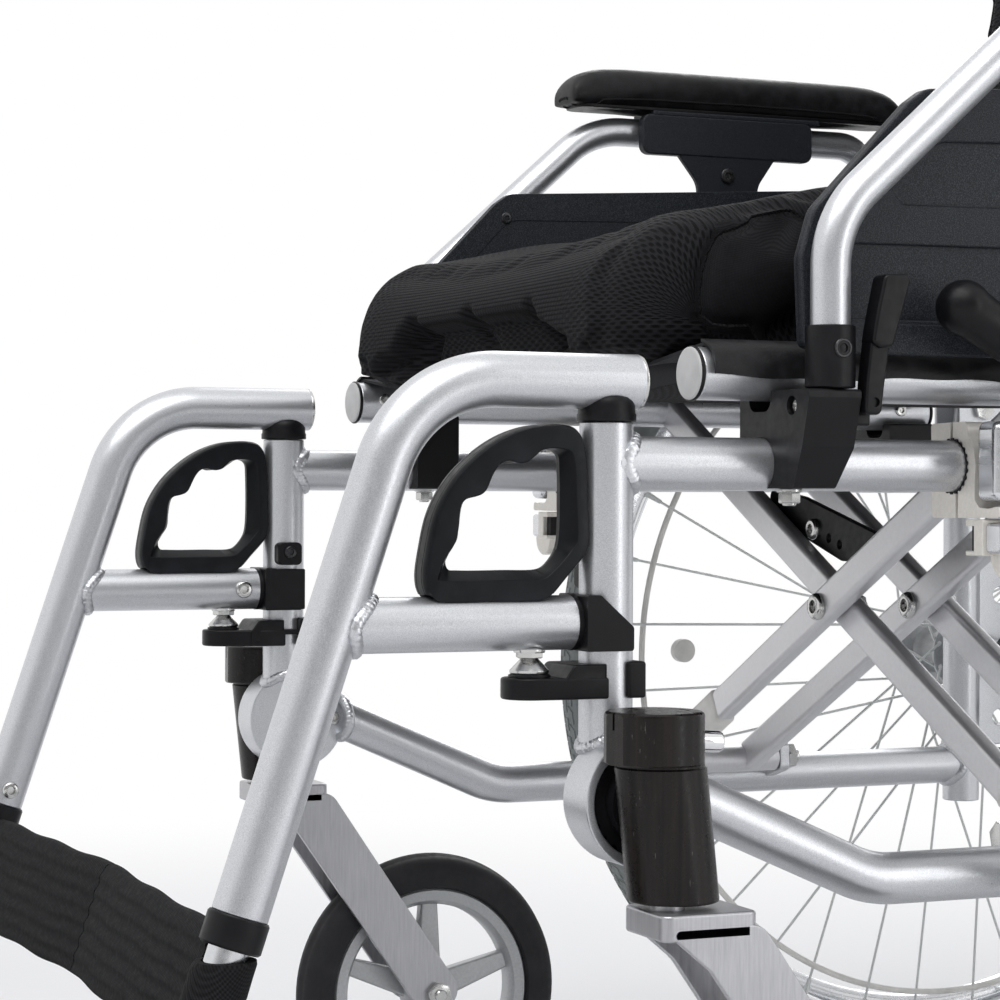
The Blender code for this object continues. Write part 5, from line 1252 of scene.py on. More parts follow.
def footplates():
    """Plate with a rim, grip ribs and the sleeve on which it flips up."""
    y1 = hanger_y(FOOT_Z + FOOT_DROP) - 26
    y0 = hanger_y(FOOT_Z + FOOT_DROP) - FOOT_REACH
    outline = rounded([(30, y0 + 14), (48, y0), (224, y0), (224, y1), (38, y1)], [16, 20, 4, 4, 14], 8)
    base = plate([outline], "Z", FOOT_Z - 4.5, FOOT_Z + 4.5, 1.6)
    edge = [(34, y0 + 16), (50, y0 + 4), (60, y0 + 4), (44, y0 + 18), (44, y1 - 6), (36, y1 - 6)]
    lip = plate([rounded(edge, 3)], "Z", FOOT_Z + 4, FOOT_Z + 8.5, 1.2)
    collar = sleeve((FRAME_X, y0, FOOT_Z), BACK, 14, y1 - y0, 0.8, 10.1)
    web = box(212, 226, y0 + 4, y1 - 4, FOOT_Z - 6, FOOT_Z + 6.5, 2.5)
    starts = [y0 + 20 + 15 * k for k in range(6)]
    grip = [box(52, 208, y, y + 6, FOOT_Z + 4, FOOT_Z + 6.1, 0.7) for y in starts]
    pair("foot_plate", [base, lip, collar, web, grip], "footplate", "plastic_black", "footplate")


# Armrests, brakes, braces and back

def armrests():
    """Bent tube, side panel with its raised rim, stem and clip, and the two feet."""
    x = ARM_X
    path = [(x, ARM_FRONT, 471), (x, ARM_FRONT, 547), (x, 228, ARM_TOP), (x, ARM_REAR, ARM_TOP),
            (x, ARM_REAR, 485)]
    pair("arm_tube", tube(bend(path, [52, 60, 26], 26), ARM_R, 36), "armrest", "frame_silver", "armrest_tube")
    edge = [(93, 487), (91, 530), (98, 553), (150, 607), (160, 614), (440, 630), (450, 622), (450, 487)]
    turns = [4, 14, 14, 10, 12, 8, 8, 6]
    panel = plate([rounded(edge, turns)], "X", PANEL_X, PANEL_X + 5.0, 1.8)
    upper = [(139, 566.5), (147, 557.5), (432, 561), (432, 598), (170, 588.5), (158, 584)]
    lower = [(108, 502), (107, 525), (120, 537.5), (432, 540.5), (432, 502)]
    openings = [rounded(upper, [4, 4, 5, 8, 8, 8]), rounded(lower, [5, 12, 5, 4, 5])]
    rim = plate([rounded(edge, turns)] + openings, "X", PANEL_X + 1, PANEL_X + 7.2, 1.3)
    foot_band = plate([rounded([(96, 484.8), (448, 484.8), (448, 500.2), (96, 500.2)], 3)], "X",
                      PANEL_X + 3, PANEL_X + 7.6, 1.2)
    waist = [(301, 606), (345, 606), (346, 628), (360, 648), (360, 654), (284, 654), (284, 648), (300, 628)]
    stem = plate([rounded(waist, [1, 1, 16, 8, 1, 1, 8, 16], 8)], "X", PANEL_X + 1.5, PANEL_X + 6.0, 1.0)
    clip = plate([rounded([(258, 646), (388, 646), (388, 673), (258, 673)], 6)], "X", PANEL_X + 1,
                 PANEL_X + 8.4, 1.2)
    top = box(PANEL_X + 1, 280, 266, 394, 672, 675.6, 1.2)
    inner_edge = [(118, 552), (160, 596.5), (440, 605), (440, 497), (104, 497), (104, 528)]
    rim_edge = [rounded(edge, turns), rounded(inner_edge, [10, 18, 6, 6, 6, 12])]
    inner_rim = plate(rim_edge, "X", PANEL_X - 0.4, PANEL_X + 2, 0.5)
    shapes = [panel, rim, foot_band, stem, clip, top, inner_rim]
    pair("arm_panel", shapes, "armrest", "panel_black", "armrest_panel")
    collar = lathe([(9.6, 0), (11.3, 0), (11.9, 0.6), (11.9, 28.6), (11.3, 29.4), (9.6, 29.4), (9.6, 0)],
                   (x, ARM_FRONT, 467.6), UP, 44)
    arm = box(251, 262, ARM_FRONT - 4, ARM_FRONT + 8, 488, 496.5, 1.2)
    hub = lathe([(0, 0), (3.4, 0), (3.4, 1.3), (2.2, 1.3), (1.9, 0.3), (0, 0.3)],
                (x + 11.2, ARM_FRONT, 486), OUT, 24)
    knuckle = sleeve((258.2, ARM_REAR, 462), OUT, 12, 19.6, 1.0, 4.4)
    cup = lathe([(9.6, 0), (12.2, 0), (12.8, 0.8), (12.8, 20), (12, 21), (9.6, 21), (9.6, 0)],
                (x, ARM_REAR, 482.4), UP, 44)
    rear = box(258.4, 277.6, 433.5, 456.5, 464, 484, 2.0)
    link = box(251, 262, 433.5, 452, 482.5, 499, 1.5)
    pair("arm_feet", [collar, arm, hub, knuckle, cup, rear, link], "armrest", "plastic_black")
    washer = [(3.5, 0), (4.6, 0), (4.6, 1.0), (4.2, 1.5), (3.5, 1.5), (3.5, 0)]
    pair("arm_screws", socket_screw((PANEL_X + 7.8, 368, 661), OUT, 3.6, 2.2), "armrest", "zinc")
    dark = [socket_screw((PANEL_X + 1.2, 322, 634), INWARD, 5.0, 1.6),
            socket_screw((PANEL_X + 0.2, 158, 598), INWARD, 3.8, 1.4)]
    # The washer round the foot's cap is dark steel: painted shade of the recess it sits in
    dark.append(lathe(washer, (x + 11.2, ARM_FRONT, 486), OUT, 32))
    pair("arm_screws_dark", dark, "armrest", "dark_steel")


def latches():
    """Slanted finger lever behind the armrest's foot, thicker and wider above its step."""
    low = [(111, 455), (119.8, 455), (121.4, 468.4), (124.2, 487.3), (129, 502), (135.2, 521.6),
           (120.4, 520.9), (116.4, 503)]
    low += [(113.9, 487.8), (111.8, 470)]
    body = plate([rounded(low, [3, 3, 3, 5, 5, 3, 3, 5, 5, 3])], "X", 271.5, 281, 1.2)
    top = [(113.6, 489), (118, 486.2), (124.6, 487), (129.4, 502), (135.2, 521.6), (120.4, 520.9),
           (116.2, 503)]
    finger = plate([rounded(top, [2, 3, 2, 5, 3, 3, 5])], "X", 271.5, 283.2, 1.4)
    bore = rod((279.5, 116.5, 461), (284, 116.5, 461), 2.2, sides=24, soft=0)
    pair("latch", [cut(body, [bore]), finger], "latch", "plastic_black", "armrest_latch")


def brakes():
    """Push handle with its ball grip, bent arm, shoe and the bar that meets the tyre."""
    x = BRAKE_X
    ball_at = Vector((x, 168, 507))
    neck_at = Vector((x, 230, 472.6))
    axis = (neck_at - ball_at).normalized()
    arc = [math.pi * k / 17 * 0.6 for k in range(1, 18)]
    profile = [(13.4 * math.sin(a), 13.4 - 13.4 * math.cos(a)) for a in arc]
    neck = [(12.3, 21), (12.0, 27), (12.0, 36), (11.4, 50), (10.2, 66), (9.2, 76), (8.4, 79), (7.0, 80),
            (0, 80)]
    grip = lathe([(0, 0)] + profile + neck, ball_at - axis * 13.4, axis, 56)
    pair("brake_grip", grip, "brake", "plastic_black", "brake_lever")
    arm = tube(bend([(x, 220, 478), (x, 238, 470), (x, BRAKE_Y, 460), (x, BRAKE_Y, BRAKE_Z)], 8, 8), 5.2)
    eye = lathe([(5.4, 0), (10.5, 0), (11, 0.6), (11, 11.6), (10.5, 12.2), (5.4, 12.2), (5.4, 0)],
                (x - 6.8, BRAKE_Y, BRAKE_Z), OUT, 36)
    shoe = plate([rounded([(236, 452), (250, 442), (240, 410), (227, 412)], 5)], "X", 269, 274, 0.8)
    pair("brake_arm", [arm, eye, shoe], "brake", "dark_steel")
    bar = lathe([(0, 0), (6.4, 0), (7, 0.7), (7, 43), (6.4, 44), (0, 44)], (272, 233, 417), OUT, 32)
    pair("brake_bar", bar, "brake", "grip_black")


def flat_bar(start, end, depth, height, soft):
    """Rounded flat bar between two points."""
    run = end - start
    length = run.length
    mesh = box(-length / 2, length / 2, -depth / 2, depth / 2, -height / 2, height / 2, soft, 4)
    turn = Vector(OUT).rotation_difference(run.normalized()).to_matrix().to_4x4()
    mesh.transform(Matrix.Translation((start + end) / 2) @ turn)
    return mesh


def braces():
    """The two folding frames: flat bars welded to the seat tube above and to the hinge sleeve below."""
    low_z = PIVOT_Z + 0.9
    low_x = PIVOT_X - 2
    high_x = SEAT_X - 6
    rise = (SEAT_Z - 3 - low_z) / (high_x + low_x)
    back_y = BAR_Y + BAR_D + GAP
    for name, front_y, s, body in (("a", BAR_Y, 1, "brace_a"), ("b", back_y, -1, "brace_b")):
        parts = []
        for y in (front_y, front_y + BAR_PITCH):
            start = Vector((-s * low_x, y, low_z))
            end = Vector((s * high_x, y, SEAT_Z - 3))
            parts.append(flat_bar(start, end, BAR_D - 0.6, 20, 3.4))
        seat_tube = tube([(s * SEAT_X, SEAT_FRONT, SEAT_Z), (s * SEAT_X, SEAT_REAR, SEAT_Z)], TUBE_R, 44)
        piece("seat_tube_" + name, seat_tube, body, "frame_silver")
        parts.append(sleeve((-s * PIVOT_X, BAR_Y - 7.5, PIVOT_Z), BACK, 9, BAR_PITCH + 27, 0.6, 5.4, 36))
        piece("brace_bars_" + name, parts, body, "brace_grey", ["cross_brace_" + name])
        starts = [(s * SEAT_X, y, SEAT_Z) for y in (SEAT_FRONT - 1.8, SEAT_REAR)]
        flanges = [sleeve(start, BACK, 13.3, 1.8, 0.4, sides=44) for start in starts]
        piece("seat_tube_flange_" + name, flanges, body, "plastic_black")
        cap = [(0, 0), (11.4, 0), (12.5, 0.7), (12.7, 1.8), (0, 1.8)]
        disc = lathe(cap, (s * SEAT_X, SEAT_FRONT - 3.2, SEAT_Z), BACK, 44)
        piece("seat_tube_cap_" + name, disc, body, "cap_grey")
        screw_x = s * (SEAT_X - 12.4)
        screws = [socket_screw((screw_x, y, SEAT_Z + 1), (-s, 0, 0), 4.2, 1.8) for y in (62, 200, 320, 440)]
        piece("seat_screws_" + name, screws, body, "zinc")
    wraps = (("a", -1, BAR_Y, 126, BAR_D + 1.4, 22.4), ("b", 1, back_y, 168, BAR_D + 0.2, 21.4))
    for name, s, y, top_x, depth, height in wraps:
        ends = [Vector((s * x, y, low_z + (low_x - x) * rise)) for x in (PIVOT_X - 12, top_x)]
        piece("brace_wrap_" + name, flat_bar(*ends, depth, height, 3.6), "brace_" + name, "sleeve_white")
    bolts = []
    for y in (BAR_Y, BAR_Y + BAR_PITCH):
        back = y + BAR_D * 1.5
        bolts.append(socket_screw((0, y - 5.9, CROSS_Z), FRONT, 8.0, 3.8, 0.6))
        bolts.append(rod((0, y - 6, CROSS_Z), (0, back + 3, CROSS_Z), 4.0))
        bolts.append(hex_nut((0, back + 0.8, CROSS_Z), BACK, 7.5, 5.0, (3.9, 2)))
    piece("brace_bolts", bolts, "brace_a", "zinc")
    stay_y = back_y + BAR_D / 2 + 0.1
    holes = [circle(x, z, 2.6) for x, z in ((-29.6, 391.8), (-17, 388.2))]
    edge = [(-103, 422), (-61, 416.5), (38, 392), (47, 386), (44, 380), (8, 378.5), (-15, 378.5),
            (-57, 391), (-99, 406)]
    stay = plate([rounded(edge, [5, 20, 6, 5, 5, 10, 12, 20, 5])] + holes, "Y", stay_y, stay_y + 4.5, 0.7)
    piece("brace_stay_plate", stay, "brace_b", "plastic_black", ["brace_stay"])
    head = socket_screw((-46, stay_y + 0.2, 397), FRONT, 6.5, 3.6, 0.6)
    piece("brace_stay_bolt", [head, hex_nut((-46, stay_y + 4.3, 397), BACK, 7, 5)], "brace_b", "zinc")


def canes():
    """Back post with its bent handle tube, the strut's lug, the cap and the ribbed grip."""
    x = CANE_X
    low = cane_point(-13)
    top = cane_point(CANE_LEN)
    root = cane_point(HANDLE_AT)
    end = (root[0] + 148, root[1] - 8)
    path = bend([(x, root[0] + 2, root[1] - 40), (x, root[0] + 34, root[1]), (x, *end)], 26, 16)
    tubes = [tube([(x, *low), (x, *top)], CANE_R), tube(path, CANE_R - 0.5)]
    y = HINGE_Y + 60 * math.cos(math.radians(25))
    z = HINGE_Z + 60 * math.sin(math.radians(25))
    corners = [(HINGE_Y + 2, HINGE_Z - 6), (y + 9, z - 12), (y + 11, z + 6), (y - 4, z + 12),
               (HINGE_Y + 6, HINGE_Z + 46)]
    tubes.append(plate([rounded(corners, [2, 6, 6, 6, 4])], "X", 225, 231, 0.7))
    cane_dir = Vector((0, math.sin(LEAN), math.cos(LEAN)))
    at = Vector((x, root[0], root[1] - 30))
    first = Vector(path[0])
    along = (Vector(path[1]) - first).normalized()
    tubes.append(bead(joint_curve(at - along * 8, along, CANE_R, (x, *cane_point(0)), cane_dir,
                                  CANE_R + 1.5), 2.4, 2.4))
    pair("cane", tubes, "back", "frame_silver", "back_cane")
    head = Vector((x, *cane_point(CANE_LEN - 1)))
    cap = lathe([(0, 0), (11.8, 0), (11.9, 2.5), (11, 4), (6, 4.4), (0, 4.5)], head, cane_dir, 40)
    last = Vector((x, *end))
    first = Vector((x, root[0] + 34, root[1]))
    along = (last - first).normalized()
    pair("cane_cap", cap, "back", "plastic_black")
    a = first + along * 24
    run = (last - first).length - 24 + 7
    profile = [(0, 0), (17.5, 0), (18.5, 1.2), (18.3, 4), (16.2, 6)]
    steps = 22 * 4
    for k in range(steps + 1):
        t = k / steps
        profile.append((14.1 + 0.9 * math.sin(math.pi * t) + 0.8 * abs(math.sin(math.pi * k / 4)),
                        8 + (run - 16) * t))
    profile += [(15.2, run - 6), (15, run - 2.4), (13.6, run - 0.6), (11, run), (0, run)]
    pair("grip", lathe(profile, a, along, 44), "back", "grip_black", "push_grip", angle=60)


def recline_levers():
    """Squeeze lever under the grip with its pin."""
    root = cane_point(HANDLE_AT)
    y = root[0] + 50
    z = root[1] - 24
    edge = [(-4, 12.6), (3.5, 11.6), (5, 1), (36, -12), (82, -30), (86, -36), (79, -40), (31, -22), (-2, -8),
            (-9, -2)]
    outline = rounded([(y + a, z + b) for a, b in edge], [1, 1, 2, 8, 4, 3, 4, 8, 4, 3])
    body = plate([outline], "X", CANE_X - 5, CANE_X + 5, 1.8)
    pair("squeeze_lever", body, "lever", "plastic_black", "recline_lever")
    pin = [hex_nut((CANE_X + 4.8, y, z), OUT, 4.2, 2.4), hex_nut((CANE_X - 4.8, y, z), INWARD, 4.2, 2.4)]
    pair("squeeze_lever_pin", pin, "lever", "zinc")


def struts():
    """Gas cylinder on the frame and its rod on the cane, each with an eye and the head of its pin."""
    y = HINGE_Y + 30 + 30 * math.cos(math.radians(25))
    low_z = 264
    high_z = HINGE_Z + 60 * math.sin(math.radians(25))
    profile = [(0, 275), (8, 275), (9.5, 277), (9.5, 398), (9.1, 400), (9.1, 401.5), (9.5, 402.5), (8.4, 405),
               (5.6, 405), (5.3, 404), (5.3, 290), (0, 290)]
    body = lathe(profile, (STRUT_X, y, 0), UP, 40)
    eyes = []
    for r, z in ((9.0, low_z), (8.5, high_z)):
        profile = [(0, 0), (r - 0.6, 0), (r, 0.6), (r, 18), (r - 0.6, 18.7), (0, 18.7)]
        eyes.append(lathe(profile, (STRUT_X - 8, y, z), OUT, 36))
    neck = rod((STRUT_X, y, 266), (STRUT_X, y, 277), 6.5)
    pair("strut_cylinder", [body, eyes[0], neck], "frame", "plastic_black", "gas_cylinder")
    pair("strut_pin", [hex_nut((205.6, y, low_z), INWARD, 6.5, 3.0)], "frame", "zinc")
    shaft = rod((STRUT_X, y, 366), (STRUT_X, y, high_z - 4), 4.9)
    head = hex_nut((205.8, y, high_z), INWARD, 6.0, 3.2)
    pair("strut_rod", [shaft, eyes[1], head], "strut_rod", "rod_chrome", "gas_rod")


def anti_tippers():
    """Bent tube with its plug, small wheel and spring button."""
    x = FRAME_X
    path = [(x, REAR_Y + TUBE_R + GAP, LOWER_Z), (x, REAR_Y + 120, LOWER_Z), (x, REAR_Y + 215, 90)]
    arm = tube(bend(path, 45, 20), 8.0)
    socket = lathe([(0, 0), (10, 0), (10.5, 0.6), (10.5, 20.6), (10, 21.5), (0, 21.5)],
                   (x, REAR_Y + TUBE_R - GAP, LOWER_Z), BACK, 36)
    half = [(0, -9), (9, -9), (10, -7.8), (17, -7.8), (19, -8.6), (22.5, -8.4), (24, -6)]
    wheel = lathe(half + across(half), (x, TIP_Y, TIP_Z), OUT, 56)
    pair("tipper", [arm, socket, wheel], "frame", "plastic_black", "anti_tipper")
    pair("tipper_button", [rod((x, REAR_Y + 24, LOWER_Z + 9), (x, REAR_Y + 24, LOWER_Z + 13), 3.2),
                           hex_nut((x + 8.5, TIP_Y, TIP_Z), OUT, 6, 3, (3, 1))], "frame", "zinc")


# Soft goods

def smooth(t):
    """Ramp from 0 to 1 with soft ends."""
    t = min(1.0, max(0.0, t))
    return t * t * (3 - 2 * t)


def sling_top(x):
    """Height of the seat's cloth at its middle line across the chair."""
    return SEAT_Z + TUBE_R + CLOTH - SAG * (1 - (x / SEAT_X) ** 2)


def closed_sheet(outer, inner):
    """Solid between two grids of points, each given as rows."""
    bm = bmesh.new()
    a = []
    b = []
    for outer_row, inner_row in zip(outer, inner):
        a.append([bm.verts.new(p) for p in outer_row])
        b.append([bm.verts.new(p) for p in inner_row])
    rows = len(a) - 1
    cols = len(a[0]) - 1
    for j in range(rows):
        for i in range(cols):
            bm.faces.new((a[j][i], a[j][i + 1], a[j + 1][i + 1], a[j + 1][i]))
            bm.faces.new((b[j][i], b[j + 1][i], b[j + 1][i + 1], b[j][i + 1]))
    for i in range(cols):
        bm.faces.new((b[0][i], b[0][i + 1], a[0][i + 1], a[0][i]))
        bm.faces.new((a[rows][i], a[rows][i + 1], b[rows][i + 1], b[rows][i]))
    for j in range(rows):
        bm.faces.new((a[j][0], a[j + 1][0], b[j + 1][0], b[j][0]))
        bm.faces.new((b[j][cols], b[j + 1][cols], a[j + 1][cols], a[j][cols]))
    bmesh.ops.recalc_face_normals(bm, faces=bm.faces)
    return from_bmesh(bm)


def grid_solid(cols, rows, point):
    """Closed body; point(u, v) gives its outer and its inner point, u from -1 to 1 and v from 0 to 1."""
    spans = [[point(-1 + 2 * i / cols, j / rows) for i in range(cols + 1)] for j in range(rows + 1)]
    return closed_sheet([[p[0] for p in row] for row in spans], [[p[1] for p in row] for row in spans])


def inflated(mesh, voxel, cap, shrink):
    """Padded body drawn in a little and blown up by cloth simulation; no point moves further than cap."""
    frames = 20
    give = 1.0
    mesh.transform(Matrix.Scale(MM, 4))
    ob = linked(mesh)
    mod = ob.modifiers.new("remesh", "REMESH")
    mod.mode = "VOXEL"
    mod.voxel_size = voxel * MM
    even_mesh = evaluated(ob)
    bm = bmesh.new()
    bm.from_mesh(even_mesh)
    bmesh.ops.smooth_vert(bm, verts=bm.verts, factor=0.5, use_axis_x=True, use_axis_y=True, use_axis_z=True)
    bm.normal_update()
    for v in bm.verts:
        v.co -= v.normal * shrink * MM
    bm.to_mesh(even_mesh)
    bm.free()
    rest = [(v.co.copy(), v.normal.copy()) for v in even_mesh.vertices]
    ob = linked(even_mesh)
    cloth = ob.modifiers.new("cloth", "CLOTH")
    cloth.settings.use_pressure = True
    cloth.settings.uniform_pressure_force = 4.0
    cloth.settings.effector_weights.gravity = 0
    cloth.settings.quality = 5
    cloth.point_cache.frame_end = frames
    for f in range(1, frames + 1):
        bpy.context.scene.frame_set(f)
    blown = evaluated(ob)
    for v, (place_before, normal) in zip(blown.vertices, rest):
        # A point moves inward by give at most
        d = v.co - place_before
        d -= normal * min(0.0, d.dot(normal) + give * MM)
        if d.length > cap * MM:
            v.co = place_before + d * (cap * MM / d.length)
    bpy.context.scene.frame_set(1)
    ob = linked(blown)
    sub = ob.modifiers.new("sub", "SUBSURF")
    sub.levels = sub.render_levels = 1
    mesh = evaluated(ob)
    mesh.transform(Matrix.Scale(1 / MM, 4))
    return mesh


def cushion_point(u, v):
    """Seat cushion: flat sides, dished and lifted top, rounded nose and front corners."""
    x = u * 213.0
    edge = max(0.0, 1 - abs(u) ** 12) ** 0.5
    turn = max(0.0, (abs(x) - 175.0) / 38.0)
    front = 20.0 + 38.0 * (1 - math.sqrt(max(0.0, 1 - turn * turn)))
    y = front + (455.0 - front) * v
    nose = min(1.0, (y - front) / (46.0 - 14.0 * u ** 4))
    round_nose = math.sqrt(max(0.0, 1 - (1 - nose) ** 2))
    tail = min(1.0, (455.0 - y) / 24.0)
    round_tail = math.sqrt(max(0.0, 1 - (1 - tail) ** 2))
    full = 557.5 + 17.0 * smooth((y - 60.0) / 110.0) - 11.0 * (1 - u * u)
    swell = (0.88 + 0.12 * edge) * round_nose * (0.35 + 0.65 * round_tail)
    base = sling_top(x) + 0.6 + 5.5 * (1 - edge) + 6.0 * (1 - round_nose) + 4.0 * (1 - round_tail)
    return (x, y, 503.5 + (full - 503.5) * swell), (x, y, base)


def back_hollow(x):
    """How far the back's cloth sags behind the canes' front."""
    return 22 * max(0.0, 1 - (x / (CANE_X - 51)) ** 2)


def on_cane(x, s, across):
    """Point s up the cane's slope and across to its rear."""
    y, z = cane_point(s, across)
    return (x, y, z)


def back_point(u, v):
    """Back upholstery: padded channels in front of the canes, drawn in at the edges."""
    x = u * (CANE_X + CANE_R)
    s = 34 + 496 * v
    edge = (1 - abs(u) ** 6) ** 0.5 * max(0.0, 1 - (2 * v - 1) ** 14) ** 0.5
    channel = abs(math.sin(math.pi * 5 * v)) ** 0.4
    thick = 6 + (9 + 5 * channel) * edge
    rear = back_hollow(x) - CANE_R - 0.1
    return on_cane(x, s, rear - thick), on_cane(x, s, rear)


def headrest_point(u, v):
    """Headrest: thicker towards its two ends."""
    x = u * 135
    s = 398 + 122 * v
    edge = (1 - abs(u) ** 5) ** 0.5 * max(0.0, 1 - (2 * v - 1) ** 6) ** 0.5
    rear = back_hollow(x) - CANE_R - 21.1
    thick = 12 + (22 + 9 * u * u) * edge
    return on_cane(x, s, rear - thick), on_cane(x, s, rear)


def pad_point(u, v):
    """Arm pad: flat below, crowned above."""
    x = PAD_X + u * 18.25
    y = 205 + 257 * v
    edge = (1 - abs(u) ** 4) ** 0.5 * max(0.0, 1 - (2 * v - 1) ** 10) ** 0.5
    return (x, y, 684 + 20 * edge), (x, y, 676)


def dense(point):
    """The same body with its rows and columns crowded towards the edges."""
    return lambda u, v: point(math.sin(u * math.pi / 2), (1 - math.cos(v * math.pi)) / 2)


def working(ob):
    """Vertex places of a finished piece in working millimetres."""
    co = np.empty(len(ob.data.vertices) * 3)
    ob.data.vertices.foreach_get("co", co)
    co = co.reshape(-1, 3) / MM
    co[:, 1] += Y_MID
    return co


def lay_cloth(ob, line, open_at):
    """Stores where each point lies on the cloth: millimetres across and along, and how open the knit is."""
    pts = np.array(line)
    run = np.concatenate([[0.0], np.cumsum(np.linalg.norm(np.diff(pts, axis=0), axis=1))])
    tree = KDTree(len(pts))
    for i, p in enumerate(pts):
        tree.insert((0.0, p[0], p[1]), i)
    tree.balance()
    co = working(ob)
    out = np.zeros((len(co), 3))
    for k, (x, y, z) in enumerate(co):
        _, i, _ = tree.find((0.0, y, z))
        best = None
        for a in (max(i - 1, 0), min(i, len(pts) - 2)):
            d = pts[a + 1] - pts[a]
            t = min(1.0, max(0.0, float(np.dot((y, z) - pts[a], d) / np.dot(d, d))))
            gap = float(np.linalg.norm(pts[a] + d * t - (y, z)))
            if best is None or gap < best[0]:
                best = (gap, run[a] + t * (run[a + 1] - run[a]))
        out[k] = (abs(x) + 0.9 * best[0], best[1], open_at(abs(x), best[0]))
    layer = ob.data.attributes.new("cloth", "FLOAT_VECTOR", "POINT")
    layer.data.foreach_set("vector", out.ravel())


def second(ob, mat, test):
    """Gives a second material to the faces whose middle, in working millimetres, passes the test."""
    ob.data.materials.append(MATS[mat])
    for face in ob.data.polygons:
        c = face.center
        if test(c.x / MM, c.y / MM + Y_MID, c.z / MM):
            face.material_index = 1


def inside(y, z, outline):
    """Whether a place lies within a closed outline."""
    odd = False
    for (ay, az), (by, bz) in zip(outline, outline[1:] + outline[:1]):
        if (az > z) != (bz > z) and y < (by - ay) * (z - az) / (bz - az) + ay:
            odd = not odd
    return odd


def on_surface(mesh, points):
    """Nearest places on a mesh for a row of points."""
    bm = bmesh.new()
    bm.from_mesh(mesh)
    tree = BVHTree.FromBMesh(bm)
    out = [tree.find_nearest(Vector(p))[0] for p in points]
    bm.free()
    return out


def creased(mesh, lines, depth, width):
    """Draws the surface in along rows of points, as a seam does."""
    tree = KDTree(sum(len(line) for line in lines))
    for i, p in enumerate([p for line in lines for p in line]):
        tree.insert(p, i)
    tree.balance()
    bm = bmesh.new()
    bm.from_mesh(mesh)
    bm.normal_update()
    shift = []
    for v in bm.verts:
        _, _, d = tree.find(v.co)
        shift.append(v.normal * depth * math.exp(-(d / width) ** 2) if d < 3 * width else None)
    for v, s in zip(bm.verts, shift):
        if s is not None:
            v.co -= s
    bm.to_mesh(mesh)
    bm.free()
    return mesh


# Seam round the cushion's side, as (y, z)
SEAM = [(446, 560), (380, 568), (300, 570.5), (220, 571), (170, 570.5), (131.5, 568), (109.6, 565),
        (95, 562), (86, 558.5), (78, 552.5), (71, 545), (65.5, 535), (62.5, 524), (61.5, 512), (64, 503),
        (72, 497), (92, 494), (120.6, 493), (300, 493), (446, 495)]


def turn_with_braces(*pieces):
    """Bakes each piece's place into its mesh."""
    for ob in pieces:
        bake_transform(ob)


def narrow_with_fold(keep, x, *pieces):
    """Gives each piece a mesh of its own, not shared with any other object."""
    for ob in pieces:
        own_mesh(ob)


def seat_cushion():
    """Thick cushion in knitted spacer mesh with woven nylon sides; the knit wraps round the front corners."""
    mesh = inflated(grid_solid(72, 90, dense(cushion_point)), 5.0, 8.0, 2.5)
    lines = [on_surface(mesh, stepped([(s * 214, y, z) for y, z in SEAM], 1.6)) for s in (-1, 1)]
    mesh = creased(mesh, lines, 2.6, 3.2)
    ob = piece("seat_cushion", mesh, None, "mesh_black", ["seat_cushion"], angle=75)
    line = [cushion_point(0, 0)[1][1:]] + [cushion_point(0, v / 900)[0][1:] for v in range(901)]
    lay_cloth(ob, line, lambda x, d: max(smooth((x - 105) / 70), smooth((d - 7) / 16)))
    second(ob, "side_cloth", lambda x, y, z: abs(x) > 197 and inside(y, z, SEAM))
    # A thin dark cord along each side seam: a painted shadow line along the seam's crease
    cords = []
    for s, points in zip((-1, 1), lines):
        path = [p + Vector((s * (0.2 + 0.5 * math.sin(k * 2.1)), 0, 0)) for k, p in enumerate(points)]
        cords.append(tube(path, 0.9, 8, 0.2))
    edge = piece("cushion_seam_shadow_cord", cords, None, "strap_cloth", angle=75)
    turn_with_braces(ob, edge)


def sling_line(r):
    """Cross-section of the seat's cloth from tube to tube, r from the axes of both seat tubes."""
    turns = [math.pi / 20 * k for k in range(11)]
    arc = [(SEAT_X + r * math.cos(a), SEAT_Z + r * math.sin(a)) for a in turns]
    span = [(t * SEAT_X, SEAT_Z + r - SAG * (1 - t * t)) for t in (1 - k / 28 for k in range(1, 56))]
    return arc + span + [(-x, z) for x, z in reversed(arc)]


def seat_sling():
    """Seat's cloth, slightly waved and rolled down at its front hem, with a cover over each tube."""
    front = 52
    depth = 408
    faces = []
    for line in (sling_line(TUBE_R + 2.2), sling_line(TUBE_R + 0.5)):
        grid = []
        for j in range(61):
            y = front + depth * j / 60
            hem = 2.0 * math.exp(-((y - front) / 5) ** 2)
            row = []
            for x, z in line:
                wave = 0.5 * math.sin(y * 0.055 + 0.4) + 0.3 * math.sin(x * 0.06 + y * 0.02)
                row.append((x, y, z + (wave - hem) * max(0.0, 1 - (x / 215) ** 2)))
            grid.append(row)
        faces.append(grid)
    sling = piece("seat_sling", closed_sheet(*faces), None, "sling_grey", ["seat_sling"])
    layers = []
    for r, swell in ((TUBE_R + 3.9, 0.35), (TUBE_R + 2.4, 0.0)):
        grid = []
        for j in range(91):
            y = 50.5 + 410 * j / 90
            row = []
            for i in range(13):
                a = math.radians(-6 + 92 * i / 12)
                x = SEAT_X + r * math.cos(a) + swell * math.sin(y * 0.11 + i * 0.5)
                low_edge = max(0.0, 1 - i / 3) * (0.9 * math.sin(y * 0.045) + 0.5 * math.sin(y * 0.13 + 1))
                row.append((x, y, SEAT_Z + r * math.sin(a) + low_edge))
            grid.append(row)
        layers.append(grid)
    cover = closed_sheet(*layers)
    edging = piece("sling_edging", [flipped(cover), cover], None, "pad_black")
    turn_with_braces(sling, edging)


